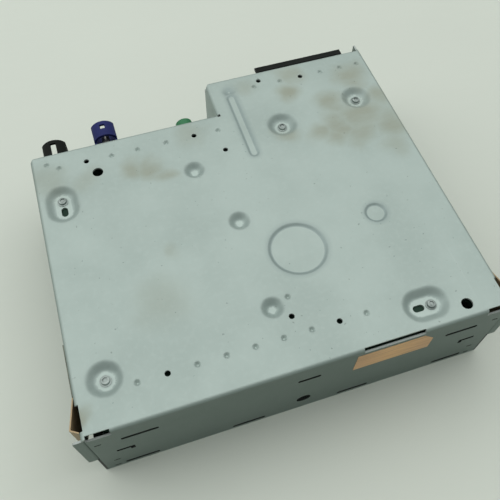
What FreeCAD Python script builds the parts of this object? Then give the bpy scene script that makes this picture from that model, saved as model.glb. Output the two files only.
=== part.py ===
import FreeCAD, Part
import math
import os
import Sketcher

# A head unit for a dashboard slot, 178 mm wide and 50 mm high, with its front panel off.
# It lies with its board side up: the pressed tray is on top and the flat lid is underneath.
# +X is to the right seen from the front, +Y is to the rear and +Z is up.
# The origin is at the middle of the footprint, on the surface that the unit lies on.

doc = FreeCAD.newDocument("head_unit")
dims = doc.addObject("Spreadsheet::Sheet", "Dims")

# Driving dimensions in millimetres.
DRIVING = {
    # Case
    "case_width": 178.0,
    "case_height": 50.0,
    "depth_right": 159.5,
    "depth_left": 137.0,
    "step_from_left": 92.0,
    "tray_gauge": 0.9,
    "lid_gauge": 0.9,
    "bend_radius": 1.6,
    "corner_radius": 0.8,
    "inner_corner_radius": 0.2,
    "running_gap": 0.3,
    "lid_flange_height": 9.0,
    "rear_tab_reach": 4.8,
    "rear_tab_height": 38.0,
    # Dimples that the board is screwed to
    "dimple_depth": 3.0,
    "dimple_rim_radius": 7.2,
    "dimple_floor_radius": 3.75,
    "obround_rim_radius": 7.2,
    "obround_floor_radius": 3.75,
    "obround_slot_length": 5.6,
    "pip_rim_radius": 4.9,
    "pip_floor_radius": 1.6,
    "disc_rim_radius": 13.0,
    "disc_floor_radius": 12.2,
    "disc_depth": 0.6,
    "small_disc_rim_radius": 5.2,
    "small_disc_floor_radius": 4.4,
    "bead_width": 5.5,
    "bead_depth": 0.45,
    "bead_length": 40.0,
    "bead_from_left": 102.2,
    "bead_end_from_rear": 11.0,
    "bump_radius": 1.2,
    "bump_depth": 0.35,
    "pilot_radius": 1.25,
    "plate_hole_radius": 2.5,
    # Screws
    "screw_radius": 1.5,
    "screw_clearance": 0.2,
    "thread_clearance": 0.05,
    "screw_head_radius": 2.5,
    "screw_head_height": 1.5,
    "recess_radius": 1.1,
    "recess_depth": 0.9,
    "nut_across": 5.5,
    "nut_height": 2.4,
    # Main board and the pieces on it
    "board_thickness": 1.6,
    "board_wall_gap": 0.8,
    "board_notch": 6.5,
    "board_notch_length": 19.0,
    # Heat sink and the chips that it cools
    "sink_width": 48.4,
    "sink_reach": 6.5,
    "sink_base": 2.6,
    "sink_drop": 3.2,
    "sink_height": 42.0,
    "sink_from_right": 8.4,
    "fin_thickness": 1.6,
    "fin_count": 8.0,
    "pad_screw_gap": 0.6,
    "pad_height": 20.0,
    "pad_reach": 2.2,
    "amp_width": 20.0,
    "amp_height": 14.0,
    "amp_thickness": 4.2,
    "regulator_width": 8.0,
    "chip_lead_width": 0.8,
    "chip_lead_pitch": 1.8,
    "clamp_thickness": 1.2,
    "clamp_height": 8.0,
    "clamp_inset": 1.0,
    # Aerial sockets on the rear left wall
    "aerial_drop": 5.0,
    "collar_radius": 6.5,
    "collar_width": 11.4,
    "collar_wall": 1.2,
    "black_x": 11.3,
    "black_reach": 12.0,
    "blue_x": 36.4,
    "blue_reach": 17.2,
    "green_gap": 1.3,
    "green_reach": 8.4,
    "green_radius": 4.3,
    "barrel_radius": 2.0,
    "barrel_bore": 1.4,
    "barrel_setback": 5.0,
    "aerial_pin_radius": 0.5,
    "aerial_base_length": 12.0,
    "slot_width": 3.0,
    "window_side": 2.7,
    "notch_length": 7.8,
    # Main socket block with its blade fuse
    "block_width": 25.0,
    "block_height": 36.0,
    "block_depth": 20.0,
    "block_reach": 2.4,
    "block_wall": 1.8,
    "block_gap": 0.7,
    "plug_bay_height": 20.0,
    "plug_bay_depth": 14.0,
    "fuse_bay_height": 7.4,
    "fuse_bay_width": 21.0,
    "fuse_bay_depth": 14.0,
    "contact_side": 1.0,
    "contact_length": 9.0,
    "contact_pitch_x": 4.6,
    "contact_pitch_z": 4.2,
    "fuse_width": 19.0,
    "fuse_body_length": 8.0,
    "fuse_thickness": 5.0,
    "fuse_blade_width": 5.0,
    "fuse_blade_length": 6.0,
    "fuse_blade_gauge": 0.7,
    # Retention springs at the front corners
    "spring_gauge": 0.5,
    "spring_height": 29.0,
    "spring_drop": 2.0,
    "spring_root": 17.5,
    "spring_crest": 5.4,
    "spring_lip": 3.4,
    "spring_flare": 3.6,
    "spring_lip_out": 0.4,
    "anchor_length": 22.0,
    "rivet_radius": 1.6,
    "rivet_head": 0.7,
    # Front wall
    "label_width": 34.5,
    "label_height": 15.0,
    "label_gauge": 0.12,
    "label_from_right": 68.1,
    "label_drop": 4.6,
    "slit_height": 2.2,
    "slit_length": 15.0,
    "front_hole_radius": 3.3,
    "window_width": 26.8,
    "window_from_right": 65.8,
    "window_top_depth": 1.3,
    "window_front_drop": 1.6,
    "corner_window_width": 9.8,
    "corner_window_drop": 4.0,
    # Flat cable socket behind the front window
    "header_width": 18.0,
    "header_depth": 5.0,
    "header_height": 2.2,
    "lock_depth": 2.0,
    # Side fixing holes
    "side_hole_radius": 2.5,
    "side_hole_rear": 100.0,
    "side_hole_front": 46.0,
    "side_hole_height": 25.0,
    # Small features
    "row_start": 24.4,
    "front_row": 15.0,
    "rear_row": 9.7,
    "peg_hole_radius": 1.4,
    "peg_hole_spread": 1.6,
    "slit_top_mid_x": 85.0,
    "slit_top_drop": 13.0,
    "slit_low_height": 3.2,
    "slit_top_mid_length": 10.0,
    "front_hole_x": 89.5,
    "front_hole_drop": 38.0,
    "hook_from_edge": 8.6,
    "hook_drop": 27.0,
    "hook_length": 7.4,
    "hook_width": 1.9,
    "hook_step": 1.8,
    "spring_window_start": 2.2,
    "ear_reach": 3.4,
    "ear_drop": 2.0,
    "ear_height": 29.0,
    "ear_gap": 0.5,
    "relief_width": 1.5,
    "relief_start": 1.3,
    "relief_end": 13.5,
    "pad_drop": 6.6,
    "sink_screw_inset": 3.1,
    "sink_screw_length": 5.0,
    "lid_screw_height": 5.6,
    "lid_screw_front": 34.0,
    "lid_screw_rear": 118.0,
    "lid_screw_length": 4.6,
    "lid_screw_head": 1.2,
    "lid_flange_front": 24.0,
    "lid_flange_rear": 130.0,
    "rear_flange_inset": 4.8,
    "vent_width": 2.4,
    "vent_length": 18.0,
    "vent_pitch": 6.0,
    "vent_from_right": 24.0,
    "vent_from_rear": 44.0,
    "board_screw_length": 4.6,
    "board_hole_radius": 3.4,
    "can_groove_depth": 0.5,
    "can_groove_width": 1.2,
    "can_groove_height": 2.4,
    "base_width": 13.0,
    "slot_rim": 2.0,
    "window_from_rim": 3.6,
    "green_width": 8.2,
    "fuse_bay_low": 2.4,
    "key_width": 3.0,
    "key_depth": 1.0,
    "blade_inset": 2.0,
    "clip_gap": 0.05,
    "clip_arm": 0.6,
    "clip_length": 5.0,
    "rivet_inset": 6.0,
    "rivet_head_radius": 2.6,
    "rivet_tail": 0.8,
    "label_cut_across": 5.0,
    "label_cut_down": 5.5,
    "mouth_inset": 1.5,
    "mouth_depth": 3.4,
    "mouth_height": 1.2,
    "mouth_lift": 0.5,
    "tongue_gauge": 0.4,
    "tongue_depth": 2.6,
    "lock_overhang": 1.0,
    "lock_lift": 0.2,
    "row_pitch": 11.85,
}
PIPS_REAR_LEFT = {"left_pip_a": 12.5, "left_pip_b": 37.3, "left_pip_c": 49.8, "left_pip_d": 63.7,
                  "left_pip_e": 89.7}
PILOTS_REAR_LEFT = {"left_pilot_a": 25.3, "left_pilot_b": 77.6}
PIPS_REAR_RIGHT = {"right_pip_a": 62.3, "right_pip_b": 48.3, "right_pip_c": 26.0, "right_pip_d": 15.0,
                   "right_pip_e": 5.5}

# Slits in the front wall: the edge they are measured from, the distance to their left end, and their row.
SLITS = {
    "slit_top_left": ("L", 12.6, "top"),
    "slit_top_right": ("R", 27.0, "top"),
    "slit_low_left": ("L", 9.0, "low"),
    "slit_low_mid_left": ("L", 57.0, "low"),
    "slit_low_mid_right": ("R", 71.5, "low"),
    "slit_low_right": ("R", 24.0, "low"),
}

# Where each feature of the plate stands: distances from the named edges of the case.
# The letters name the edges: L, R or the step S for across, F for the front, B for that side's rear wall.
SPOTS = {
    "screw_front_left": ("L", 12.8, "F", 20.4),
    "screw_back_left": ("L", 10.7, "B", 27.6),
    "screw_front_right": ("R", 31.0, "F", 11.3),
    "screw_rear_mid": ("S", 29.0, "B", 38.0),
    "screw_rear_right": ("R", 15.2, "B", 32.2),
    "pip_rear": ("L", 72.3, "B", 29.7),
    "pip_middle": ("L", 83.7, "F", 73.7),
    "pip_front": ("L", 83.7, "F", 29.0),
    "disc": ("R", 74.6, "F", 52.3),
    "small_disc": ("R", 34.9, "F", 59.2),
    "plate_hole_rear": ("L", 29.2, "B", 17.6),
    "plate_hole_front": ("R", 17.9, "F", 6.2),
    "hole_a": ("L", 89.6, "B", 22.7),
    "hole_b": ("L", 89.7, "F", 22.9),
    "hole_c": ("R", 59.0, "B", 6.5),
    "hole_d": ("R", 37.3, "B", 9.9),
    "tuner": ("L", 31.5, "B", 40.0),
    "receiver": ("L", 60.5, "B", 41.0),
    "processor": ("R", 74.6, "F", 52.3),
    "signal_chip": ("R", 45.0, "F", 88.0),
    "memory_front": ("R", 99.0, "F", 42.0),
    "memory_rear": ("R", 99.0, "F", 57.0),
    "converter_chip": ("R", 120.0, "F", 60.0),
    "crystal": ("R", 49.0, "F", 44.0),
    "big_capacitor_a": ("S", 10.0, "B", 20.0),
    "big_capacitor_b": ("S", 10.0, "B", 39.0),
    "small_capacitor_a": ("S", 45.0, "B", 40.0),
    "small_capacitor_b": ("S", 56.0, "B", 40.0),
    "small_capacitor_c": ("S", 50.0, "B", 52.0),
    "inductor": ("R", 20.0, "B", 66.0),
    "header": ("R", 54.0, "F", 7.1),
}

# Sizes of the pieces on the board: width across, depth and height under the board.
CHIP_SIZES = {
    "tuner": (28.0, 32.0, 9.0),
    "receiver": (20.0, 22.0, 4.0),
    "processor": (27.0, 27.0, 2.2),
    "signal_chip": (20.0, 20.0, 1.4),
    "memory": (12.0, 8.0, 1.2),
    "converter_chip": (10.0, 10.0, 1.4),
    "crystal": (11.0, 4.6, 3.6),
    "inductor": (12.5, 12.5, 8.0),
}
BIG_CAPACITOR = {"big_capacitor_radius": 8.0, "big_capacitor_height": 25.0}
SMALL_CAPACITOR = {"small_capacitor_radius": 4.0, "small_capacitor_height": 11.5}
SHIELD = {"shield_width": 36.0, "shield_depth": 36.0, "shield_height": 4.5, "shield_gauge": 0.3}


class Sheet:
    """Writes named numbers into the dimension sheet, one row each."""

    row = 0

    @classmethod
    def put(cls, alias, value):
        cls.row += 1
        dims.set(f"A{cls.row}", alias)
        dims.set(f"B{cls.row}", str(value))
        dims.setAlias(f"B{cls.row}", alias)


for values in (DRIVING, BIG_CAPACITOR, SMALL_CAPACITOR, SHIELD, PIPS_REAR_LEFT, PILOTS_REAR_LEFT,
               PIPS_REAR_RIGHT):
    for alias, value in values.items():
        Sheet.put(alias, value)
for name, (_, across, _) in SLITS.items():
    Sheet.put(f"{name}_x", across)
for name, (_, across, _, along) in SPOTS.items():
    Sheet.put(f"{name}_x", across)
    Sheet.put(f"{name}_y", along)
for name, size in CHIP_SIZES.items():
    for suffix, value in zip(("width", "depth", "height"), size):
        Sheet.put(f"{name}_{suffix}", value)
doc.recompute()


def ref(alias):
    """The expression that reads one cell."""
    return f"Dims.{alias}"


def number(expression):
    """The present value of an expression on the sheet."""
    value = dims.evalExpression(expression)
    return float(getattr(value, "Value", value))


LEFT = "(-Dims.case_width / 2)"
RIGHT = "(Dims.case_width / 2)"
FRONT = "(-(Dims.depth_right + Dims.sink_reach - Dims.label_gauge) / 2)"
REAR_RIGHT = f"({FRONT} + Dims.depth_right)"
REAR_LEFT = f"({FRONT} + Dims.depth_left)"
STEP = f"({LEFT} + Dims.step_from_left)"
TOP = "Dims.case_height"
PLATE_UNDER = "(Dims.case_height - Dims.tray_gauge)"
DIMPLE_FLOOR = "(Dims.case_height - Dims.dimple_depth)"
BOARD_TOP = f"({DIMPLE_FLOOR} - Dims.tray_gauge)"
BOARD_UNDER = f"({BOARD_TOP} - Dims.board_thickness)"


def from_left(alias):
    return f"({LEFT} + {ref(alias)})"


def from_right(alias):
    return f"({RIGHT} - {ref(alias)})"


def from_step(alias):
    return f"({STEP} + {ref(alias)})"


def behind_front(alias):
    return f"({FRONT} + {ref(alias)})"


def spot(name):
    """The place of a named feature, as two expressions."""
    side, _, end, _ = SPOTS[name]
    edges = {"L": from_left, "R": from_right, "S": from_step}
    x = edges[side](f"{name}_x")
    if end == "F":
        return x, behind_front(f"{name}_y")
    rear = REAR_LEFT if side == "L" else REAR_RIGHT
    return x, f"({rear} - {ref(name + '_y')})"


def bind(obj, **properties):
    for name, expression in properties.items():
        obj.setExpression(name, str(expression))
    return obj


def place(obj, x, y, z):
    for axis, expression in zip("xyz", (x, y, z)):
        obj.setExpression(f"Placement.Base.{axis}", str(expression))
    return obj


def block(label, corner, size):
    """A rectangular block from its lowest corner and its three lengths."""
    box = doc.addObject("Part::Box", label)
    bind(box, Length=size[0], Width=size[1], Height=size[2])
    return place(box, *corner)


def centred_block(label, centre, bottom, size):
    """A rectangular block from the middle of its plan and the height of its base."""
    corner = (f"{centre[0]} - ({size[0]}) / 2", f"{centre[1]} - ({size[1]}) / 2", bottom)
    return block(label, corner, size)


TURNS = {
    "z": FreeCAD.Rotation(),
    "x": FreeCAD.Rotation(FreeCAD.Vector(0, 1, 0), 90),
    "y": FreeCAD.Rotation(FreeCAD.Vector(1, 0, 0), -90),
}


def rod(label, base, radius, length, axis="z"):
    """A round bar that runs from its base point along one axis."""
    bar = doc.addObject("Part::Cylinder", label)
    bar.Placement = FreeCAD.Placement(FreeCAD.Vector(), TURNS[axis])
    bind(bar, Radius=radius, Height=length)
    return place(bar, *base)


def taper(label, base, low_radius, high_radius, height):
    """A round taper that stands on its base point."""
    cone = doc.addObject("Part::Cone", label)
    bind(cone, Radius1=low_radius, Radius2=high_radius, Height=height)
    return place(cone, *base)


def join(label, pieces):
    fused = doc.addObject("Part::MultiFuse", label)
    fused.Shapes = pieces
    return fused


def group(label, pieces):
    """Separate solids that share one node."""
    bundle = doc.addObject("Part::Compound", label)
    bundle.Links = pieces
    return bundle


def carve(label, base, tools):
    """The base less every tool."""
    cut = doc.addObject("Part::Cut", label)
    cut.Base = base
    cut.Tool = tools[0] if len(tools) == 1 else join(f"{label}_cuts", tools)
    return cut


def overlap(label, first, second):
    common = doc.addObject("Part::Common", label)
    common.Base = first
    common.Tool = second
    return common


def origin_plane(body, role):
    for feature in body.Origin.OriginFeatures:
        if feature.Role == role:
            return feature
    raise ValueError(role)


def body_with_outline(label, role, offset, corners):
    """A body with one closed outline, each corner held by two bound distances."""
    body = doc.addObject("PartDesign::Body", label)
    sketch = body.newObject("Sketcher::SketchObject", f"{label}_outline")
    sketch.AttachmentSupport = (origin_plane(body, role), [""])
    sketch.MapMode = "FlatFace"
    sketch.setExpression("AttachmentOffset.Base.z", str(offset))
    draw_outline(sketch, corners)
    return body, sketch


def draw_outline(sketch, corners):
    points = [FreeCAD.Vector(number(x), number(y), 0) for x, y in corners]
    count = len(points)
    first = sketch.GeometryCount
    for index, point in enumerate(points):
        sketch.addGeometry(Part.LineSegment(point, points[(index + 1) % count]))
    for index in range(count):
        line = first + index
        following = first + (index + 1) % count
        sketch.addConstraint(Sketcher.Constraint("Coincident", line, 2, following, 1))
    for index, (x, y) in enumerate(corners):
        for kind, expression, value in (("DistanceX", x, points[index].x),
                                        ("DistanceY", y, points[index].y)):
            item = sketch.addConstraint(Sketcher.Constraint(kind, -1, 1, first + index, 1, value))
            sketch.setExpression(f"Constraints[{item}]", str(expression))


def pad(body, sketch, length, backwards=False):
    feature = body.newObject("PartDesign::Pad", f"{body.Label}_pad")
    feature.Profile = sketch
    feature.setExpression("Length", str(length))
    feature.Reversed = backwards
    return feature


def round_edges(body, base, label, radius, choose):
    """Rounds the edges of a body that the test picks."""
    doc.recompute()
    names = [f"Edge{i}" for i, edge in enumerate(base.Shape.Edges, 1) if choose(edge)]
    feature = body.newObject("PartDesign::Fillet", label)
    feature.Base = (base, names)
    feature.setExpression("Radius", str(radius))
    body.Tip = feature
    return feature


def upright(edge):
    low, high = edge.Vertexes[0].Point, edge.Vertexes[-1].Point
    return abs(low.z - high.z) > 1 and math.hypot(low.x - high.x, low.y - high.y) < 0.01


def at_height(height):
    def test(edge):
        return all(abs(vertex.Point.z - height) < 0.01 for vertex in edge.Vertexes)
    return test


# Case shells

def stepped_plan(inset):
    """The L-shaped plan of the case, drawn in from the outside by an inset."""
    left = f"{LEFT} + {inset}"
    right = f"{RIGHT} - {inset}"
    front = f"{FRONT} + {inset}"
    step = f"{STEP} + {inset}"
    rear_left = f"{REAR_LEFT} - {inset}"
    rear_right = f"{REAR_RIGHT} - {inset}"
    return [(left, front), (right, front), (right, rear_right), (step, rear_right), (step, rear_left),
            (left, rear_left)]


def stepped_body(label, inset, bottom, height, top_radius, corner_radius):
    """A solid of the stepped plan with its upper edges rounded."""
    body, sketch = body_with_outline(label, "XY_Plane", bottom, stepped_plan(inset))
    base = pad(body, sketch, height)
    corners = round_edges(body, base, f"{label}_corners", corner_radius, upright)
    round_edges(body, corners, f"{label}_bend", top_radius, at_height(number(f"{bottom} + {height}")))
    return body


def obround_taper(label, name, along, floor_z, height, low_radius, high_radius):
    """A tapered pocket with a straight middle, whose slot runs along one axis from its screw."""
    x, y = spot(name)
    sections = []
    for suffix, radius, level in (("low", low_radius, floor_z),
                                  ("high", high_radius, f"{floor_z} + {height}")):
        sketch = doc.addObject("Sketcher::SketchObject", f"{label}_{suffix}")
        place(sketch, x, y, level)
        draw_obround(sketch, along, radius)
        sections.append(sketch)
    loft = doc.addObject("Part::Loft", label)
    loft.Sections = sections
    loft.Solid = True
    loft.Ruled = True
    return loft


def draw_obround(sketch, along, radius):
    """A slot outline about two centres: the sketch's own origin and one slot length behind it."""
    size = number(radius)
    reach = -number(ref("obround_slot_length"))
    quarter = math.pi / 2
    if along == "y":
        far, start = FreeCAD.Vector(0, reach, 0), 0.0
    else:
        far, start = FreeCAD.Vector(reach, 0, 0), -quarter
    near = FreeCAD.Vector(0, 0, 0)
    up = FreeCAD.Vector(0, 0, 1)
    first = Part.ArcOfCircle(Part.Circle(near, up, size), start, start + 2 * quarter)
    second = Part.ArcOfCircle(Part.Circle(far, up, size), start + 2 * quarter, start + 4 * quarter)
    sketch.addGeometry(first)
    sketch.addGeometry(second)
    sketch.addGeometry(Part.LineSegment(first.EndPoint, second.StartPoint))
    sketch.addGeometry(Part.LineSegment(second.EndPoint, first.StartPoint))
    for one, one_end, two, two_end in ((0, 2, 2, 1), (2, 2, 1, 1), (1, 2, 3, 1), (3, 2, 0, 1)):
        sketch.addConstraint(Sketcher.Constraint("Tangent", one, one_end, two, two_end))
    sketch.addConstraint(Sketcher.Constraint("Coincident", 0, 3, -1, 1))
    rounding = sketch.addConstraint(Sketcher.Constraint("Radius", 0, size))
    sketch.setExpression(f"Constraints[{rounding}]", str(radius))
    across, lengthwise = ("DistanceX", "DistanceY") if along == "y" else ("DistanceY", "DistanceX")
    sketch.addConstraint(Sketcher.Constraint(across, -1, 1, 1, 3, 0.0))
    spread = sketch.addConstraint(Sketcher.Constraint(lengthwise, -1, 1, 1, 3, reach))
    sketch.setExpression(f"Constraints[{spread}]", "-Dims.obround_slot_length")


BOARD_SCREWS = ["screw_front_left", "screw_back_left", "screw_front_right", "screw_rear_mid",
                "screw_rear_right"]
ROUND_DIMPLES = ["screw_front_left", "screw_rear_mid", "screw_rear_right"]
OBROUND_DIMPLES = {"screw_back_left": "y", "screw_front_right": "x"}
PIPS = ["pip_rear", "pip_middle", "pip_front"]


# The pressed tray: plate, front wall, side walls and rear walls from one sheet

def dimple(name, low_radius, high_radius, depth, gauge):
    """The hollow of a round pressing and the sheet that it pushes down, as two tapers."""
    x, y = spot(name)
    floor_z = f"({TOP} - {depth})"
    hollow = taper(f"{name}_hollow", (x, y, floor_z), low_radius, high_radius, depth)
    pushed = taper(f"{name}_pushed", (x, y, f"{floor_z} - {gauge}"), low_radius, high_radius, depth)
    return hollow, pushed


def slot_pressing(label, x, y, width, length, top_z, depth):
    """A straight pressing with round ends that runs along Y, from its rear end forward."""
    bottom = f"{top_z} - {depth}"
    rear = rod(f"{label}_rear", (x, y, bottom), f"{width} / 2", depth)
    fore = rod(f"{label}_fore", (x, f"{y} - {length}", bottom), f"{width} / 2", depth)
    middle = block(f"{label}_middle", (f"{x} - {width} / 2", f"{y} - {length}", bottom),
                   (width, length, depth))
    return join(label, [rear, fore, middle])


GAUGE = ref("tray_gauge")
THROUGH = f"(3 * {GAUGE})"
tray_outside = stepped_body("tray_outside", "0", ref("lid_gauge"), f"{TOP} - Dims.lid_gauge",
                            ref("bend_radius"), ref("corner_radius"))
tray_inside = stepped_body("tray_inside", GAUGE, "0", PLATE_UNDER, f"Dims.bend_radius - {GAUGE}",
                           ref("inner_corner_radius"))
hollows, pushed_sheet = [], []
for name in ROUND_DIMPLES:
    hollow, pushed = dimple(name, ref("dimple_floor_radius"), ref("dimple_rim_radius"),
                            ref("dimple_depth"), GAUGE)
    hollows.append(hollow)
    pushed_sheet.append(pushed)
for name in PIPS:
    hollow, pushed = dimple(name, ref("pip_floor_radius"), ref("pip_rim_radius"), ref("dimple_depth"),
                            GAUGE)
    hollows.append(hollow)
    pushed_sheet.append(pushed)
for name in ("disc", "small_disc"):
    hollow, pushed = dimple(name, ref(f"{name}_floor_radius"), ref(f"{name}_rim_radius"),
                            ref("disc_depth"), GAUGE)
    hollows.append(hollow)
    pushed_sheet.append(pushed)
for name, along in OBROUND_DIMPLES.items():
    low, high, depth = ref("obround_floor_radius"), ref("obround_rim_radius"), ref("dimple_depth")
    hollows.append(obround_taper(f"{name}_hollow", name, along, DIMPLE_FLOOR, depth, low, high))
    pushed_sheet.append(obround_taper(f"{name}_pushed", name, along, f"{DIMPLE_FLOOR} - {GAUGE}", depth,
                                      low, high))
bead_place = (from_left("bead_from_left"), f"({REAR_RIGHT} - Dims.bead_end_from_rear)")
hollows.append(slot_pressing("bead_hollow", *bead_place, ref("bead_width"), ref("bead_length"), TOP,
                             ref("bead_depth")))
pushed_sheet.append(slot_pressing("bead_pushed", *bead_place, f"(Dims.bead_width + {GAUGE})",
                                  ref("bead_length"),
                                  PLATE_UNDER, ref("bead_depth")))

# Small pips and pilot holes stand in rows along the front and rear edges.
FRONT_ROW_HOLES = (1, 7)
FRONT_ROW_COUNT = 9
pip_places, pilot_places = [], []
for index in range(FRONT_ROW_COUNT):
    place_in_row = (f"({LEFT} + Dims.row_start + {index} * Dims.row_pitch)", behind_front("front_row"))
    (pilot_places if index in FRONT_ROW_HOLES else pip_places).append(place_in_row)
rear_left_row = f"({REAR_LEFT} - Dims.rear_row)"
rear_right_row = f"({REAR_RIGHT} - Dims.rear_row)"
pip_places += [(from_left(alias), rear_left_row) for alias in PIPS_REAR_LEFT]
pip_places += [(from_right(alias), rear_right_row) for alias in PIPS_REAR_RIGHT]
pilot_places += [(from_left(alias), rear_left_row) for alias in PILOTS_REAR_LEFT]
pilot_places += [spot(name) for name in ("hole_a", "hole_b", "hole_c", "hole_d")]
tray_cuts = []
for index, (x, y) in enumerate(pip_places):
    tray_cuts.append(rod(f"pip_{index}", (x, y, f"{TOP} - Dims.bump_depth"), ref("bump_radius"),
                         ref("bump_depth")))
for index, (x, y) in enumerate(pilot_places):
    tray_cuts.append(rod(f"pilot_{index}", (x, y, f"{PLATE_UNDER} - {GAUGE}"), ref("pilot_radius"),
                         THROUGH))
for name in ("plate_hole_rear", "plate_hole_front"):
    x, y = spot(name)
    tray_cuts.append(rod(f"{name}_cut", (x, y, f"{PLATE_UNDER} - {GAUGE}"), ref("plate_hole_radius"),
                         THROUGH))
SCREW_HOLE = "(Dims.screw_radius + Dims.screw_clearance)"
for name in BOARD_SCREWS:
    x, y = spot(name)
    floor_low = f"{BOARD_TOP} - {GAUGE}"
    tray_cuts.append(rod(f"{name}_hole", (x, y, floor_low), SCREW_HOLE, THROUGH))
PEG_HOLES = {"peg_back_left": ("screw_back_left", "y"), "peg_front_right": ("screw_front_right", "x")}
for label, (name, along) in PEG_HOLES.items():
    x, y = spot(name)
    for index in range(2):
        back = f"(Dims.obround_slot_length + (0.5 - {index}) * Dims.peg_hole_spread)"
        at = (x, f"{y} - {back}") if along == "y" else (f"{x} - {back}", y)
        tray_cuts.append(rod(f"{label}_{index}", (*at, f"{BOARD_TOP} - {GAUGE}"), ref("peg_hole_radius"), THROUGH))


def wall_slit(label, x, z, length, height):
    """A slit through the front wall, from its left end and its middle height."""
    corner = (x, f"{FRONT} - {GAUGE}", f"{z} - {height} / 2")
    return block(label, corner, (length, THROUGH, height))


for name, (side, _, row) in SLITS.items():
    x = from_left(f"{name}_x") if side == "L" else from_right(f"{name}_x")
    z = f"({TOP} - Dims.slit_top_drop)" if row == "top" else ref("slit_low_height")
    tray_cuts.append(wall_slit(name, x, z, ref("slit_length"), ref("slit_height")))
tray_cuts.append(wall_slit("slit_top_mid", from_left("slit_top_mid_x"), f"({TOP} - Dims.slit_top_drop)",
                           ref("slit_top_mid_length"), ref("slit_height")))
tray_cuts.append(rod("front_hole", (from_left("front_hole_x"), f"{FRONT} - {GAUGE}",
                                    f"{TOP} - Dims.front_hole_drop"),
                     ref("front_hole_radius"), THROUGH, "y"))
hook_z = f"({TOP} - Dims.hook_drop)"
for side, start, tip in (
    ("left", from_left("hook_from_edge"),
     f"{LEFT} + Dims.hook_from_edge + Dims.hook_length - Dims.hook_width"),
    ("right", f"{RIGHT} - Dims.hook_from_edge - Dims.hook_length",
     f"{RIGHT} - Dims.hook_from_edge - Dims.hook_length"),
):
    tray_cuts.append(wall_slit(f"hook_slot_{side}", start, hook_z, ref("hook_length"), ref("hook_width")))
    tray_cuts.append(wall_slit(f"hook_tip_{side}", tip, f"{hook_z} - Dims.hook_step", ref("hook_width"),
                               ref("hook_width")))
tray_cuts.append(block("cable_window", (from_right("window_from_right"), f"{FRONT} - {GAUGE}",
                                        f"{TOP} - Dims.window_front_drop"),
                       (ref("window_width"), f"Dims.window_top_depth + {GAUGE}",
                        f"Dims.window_front_drop + {GAUGE}")))
for side, start in (("left", f"{LEFT} + {GAUGE}"),
                    ("right", f"{RIGHT} - {GAUGE} - Dims.corner_window_width")):
    corner = (start, f"{FRONT} - {GAUGE}", f"{TOP} - Dims.corner_window_drop")
    size = (ref("corner_window_width"), f"Dims.window_top_depth + {GAUGE}",
            f"Dims.corner_window_drop + {GAUGE}")
    tray_cuts.append(block(f"corner_window_{side}", corner, size))

# The side walls end in ears, bent out into the plane of the front wall, which stops short of them.
EAR_LOW = f"({TOP} - Dims.ear_drop - Dims.ear_height)"
ears = []
for side, ear_x, gap_x in (
    ("left", f"{LEFT} - Dims.ear_reach", f"{LEFT} + {GAUGE}"),
    ("right", f"{RIGHT} - {GAUGE}", f"{RIGHT} - {GAUGE} - Dims.ear_gap"),
):
    ears.append(block(f"ear_{side}", (ear_x, FRONT, EAR_LOW), (f"Dims.ear_reach + {GAUGE}", GAUGE, ref("ear_height"))))
    gap_height = f"{TOP} - Dims.corner_window_drop + {GAUGE} - {EAR_LOW}"
    tray_cuts.append(block(f"ear_gap_{side}", (gap_x, f"{FRONT} - {GAUGE}", EAR_LOW),
                           (ref("ear_gap"), THROUGH, gap_height)))

# Side walls: the retention springs swing in through a window, and four holes take side screws.
SPRING_TOP = f"({TOP} - Dims.spring_drop)"
SPRING_LOW = f"({SPRING_TOP} - Dims.spring_height)"
for side, wall, relief in (
    ("left", f"{LEFT} - {GAUGE}", LEFT),
    ("right", f"{RIGHT} - 2 * {GAUGE}", f"{RIGHT} - Dims.relief_width"),
):
    low = f"{SPRING_LOW} - Dims.running_gap"
    tray_cuts.append(block(
        f"spring_window_{side}", (wall, behind_front("spring_window_start"), low),
        (THROUGH, "Dims.spring_root + Dims.running_gap - Dims.spring_window_start",
         "Dims.spring_height + 2 * Dims.running_gap")))
    tray_cuts.append(block(
        f"edge_relief_{side}", (relief, behind_front("relief_start"), low),
        (ref("relief_width"), "Dims.relief_end - Dims.relief_start", f"{TOP} - ({low}) + {GAUGE}")))
for side, wall in (("left", f"{LEFT} - {GAUGE}"), ("right", f"{RIGHT} - 2 * {GAUGE}")):
    for end in ("front", "rear"):
        base = (wall, behind_front(f"side_hole_{end}"), ref("side_hole_height"))
        tray_cuts.append(rod(f"side_hole_{side}_{end}", base, ref("side_hole_radius"), THROUGH, "x"))

ANCHOR_START = f"({FRONT} + Dims.spring_root + Dims.running_gap)"
RIVET_Y = f"({ANCHOR_START} + Dims.anchor_length / 2)"
RIVET_LEVELS = (f"({SPRING_LOW} + Dims.rivet_inset)", f"({SPRING_TOP} - Dims.rivet_inset)")
RIVET_HOLE = "(Dims.rivet_radius + Dims.thread_clearance)"
for side, wall in (("left", f"{LEFT} - {GAUGE}"), ("right", f"{RIGHT} - 2 * {GAUGE}")):
    for index, z in enumerate(RIVET_LEVELS):
        tray_cuts.append(rod(f"rivet_wall_hole_{side}_{index}", (wall, RIVET_Y, z), RIVET_HOLE, THROUGH,
                             "x"))

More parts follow.
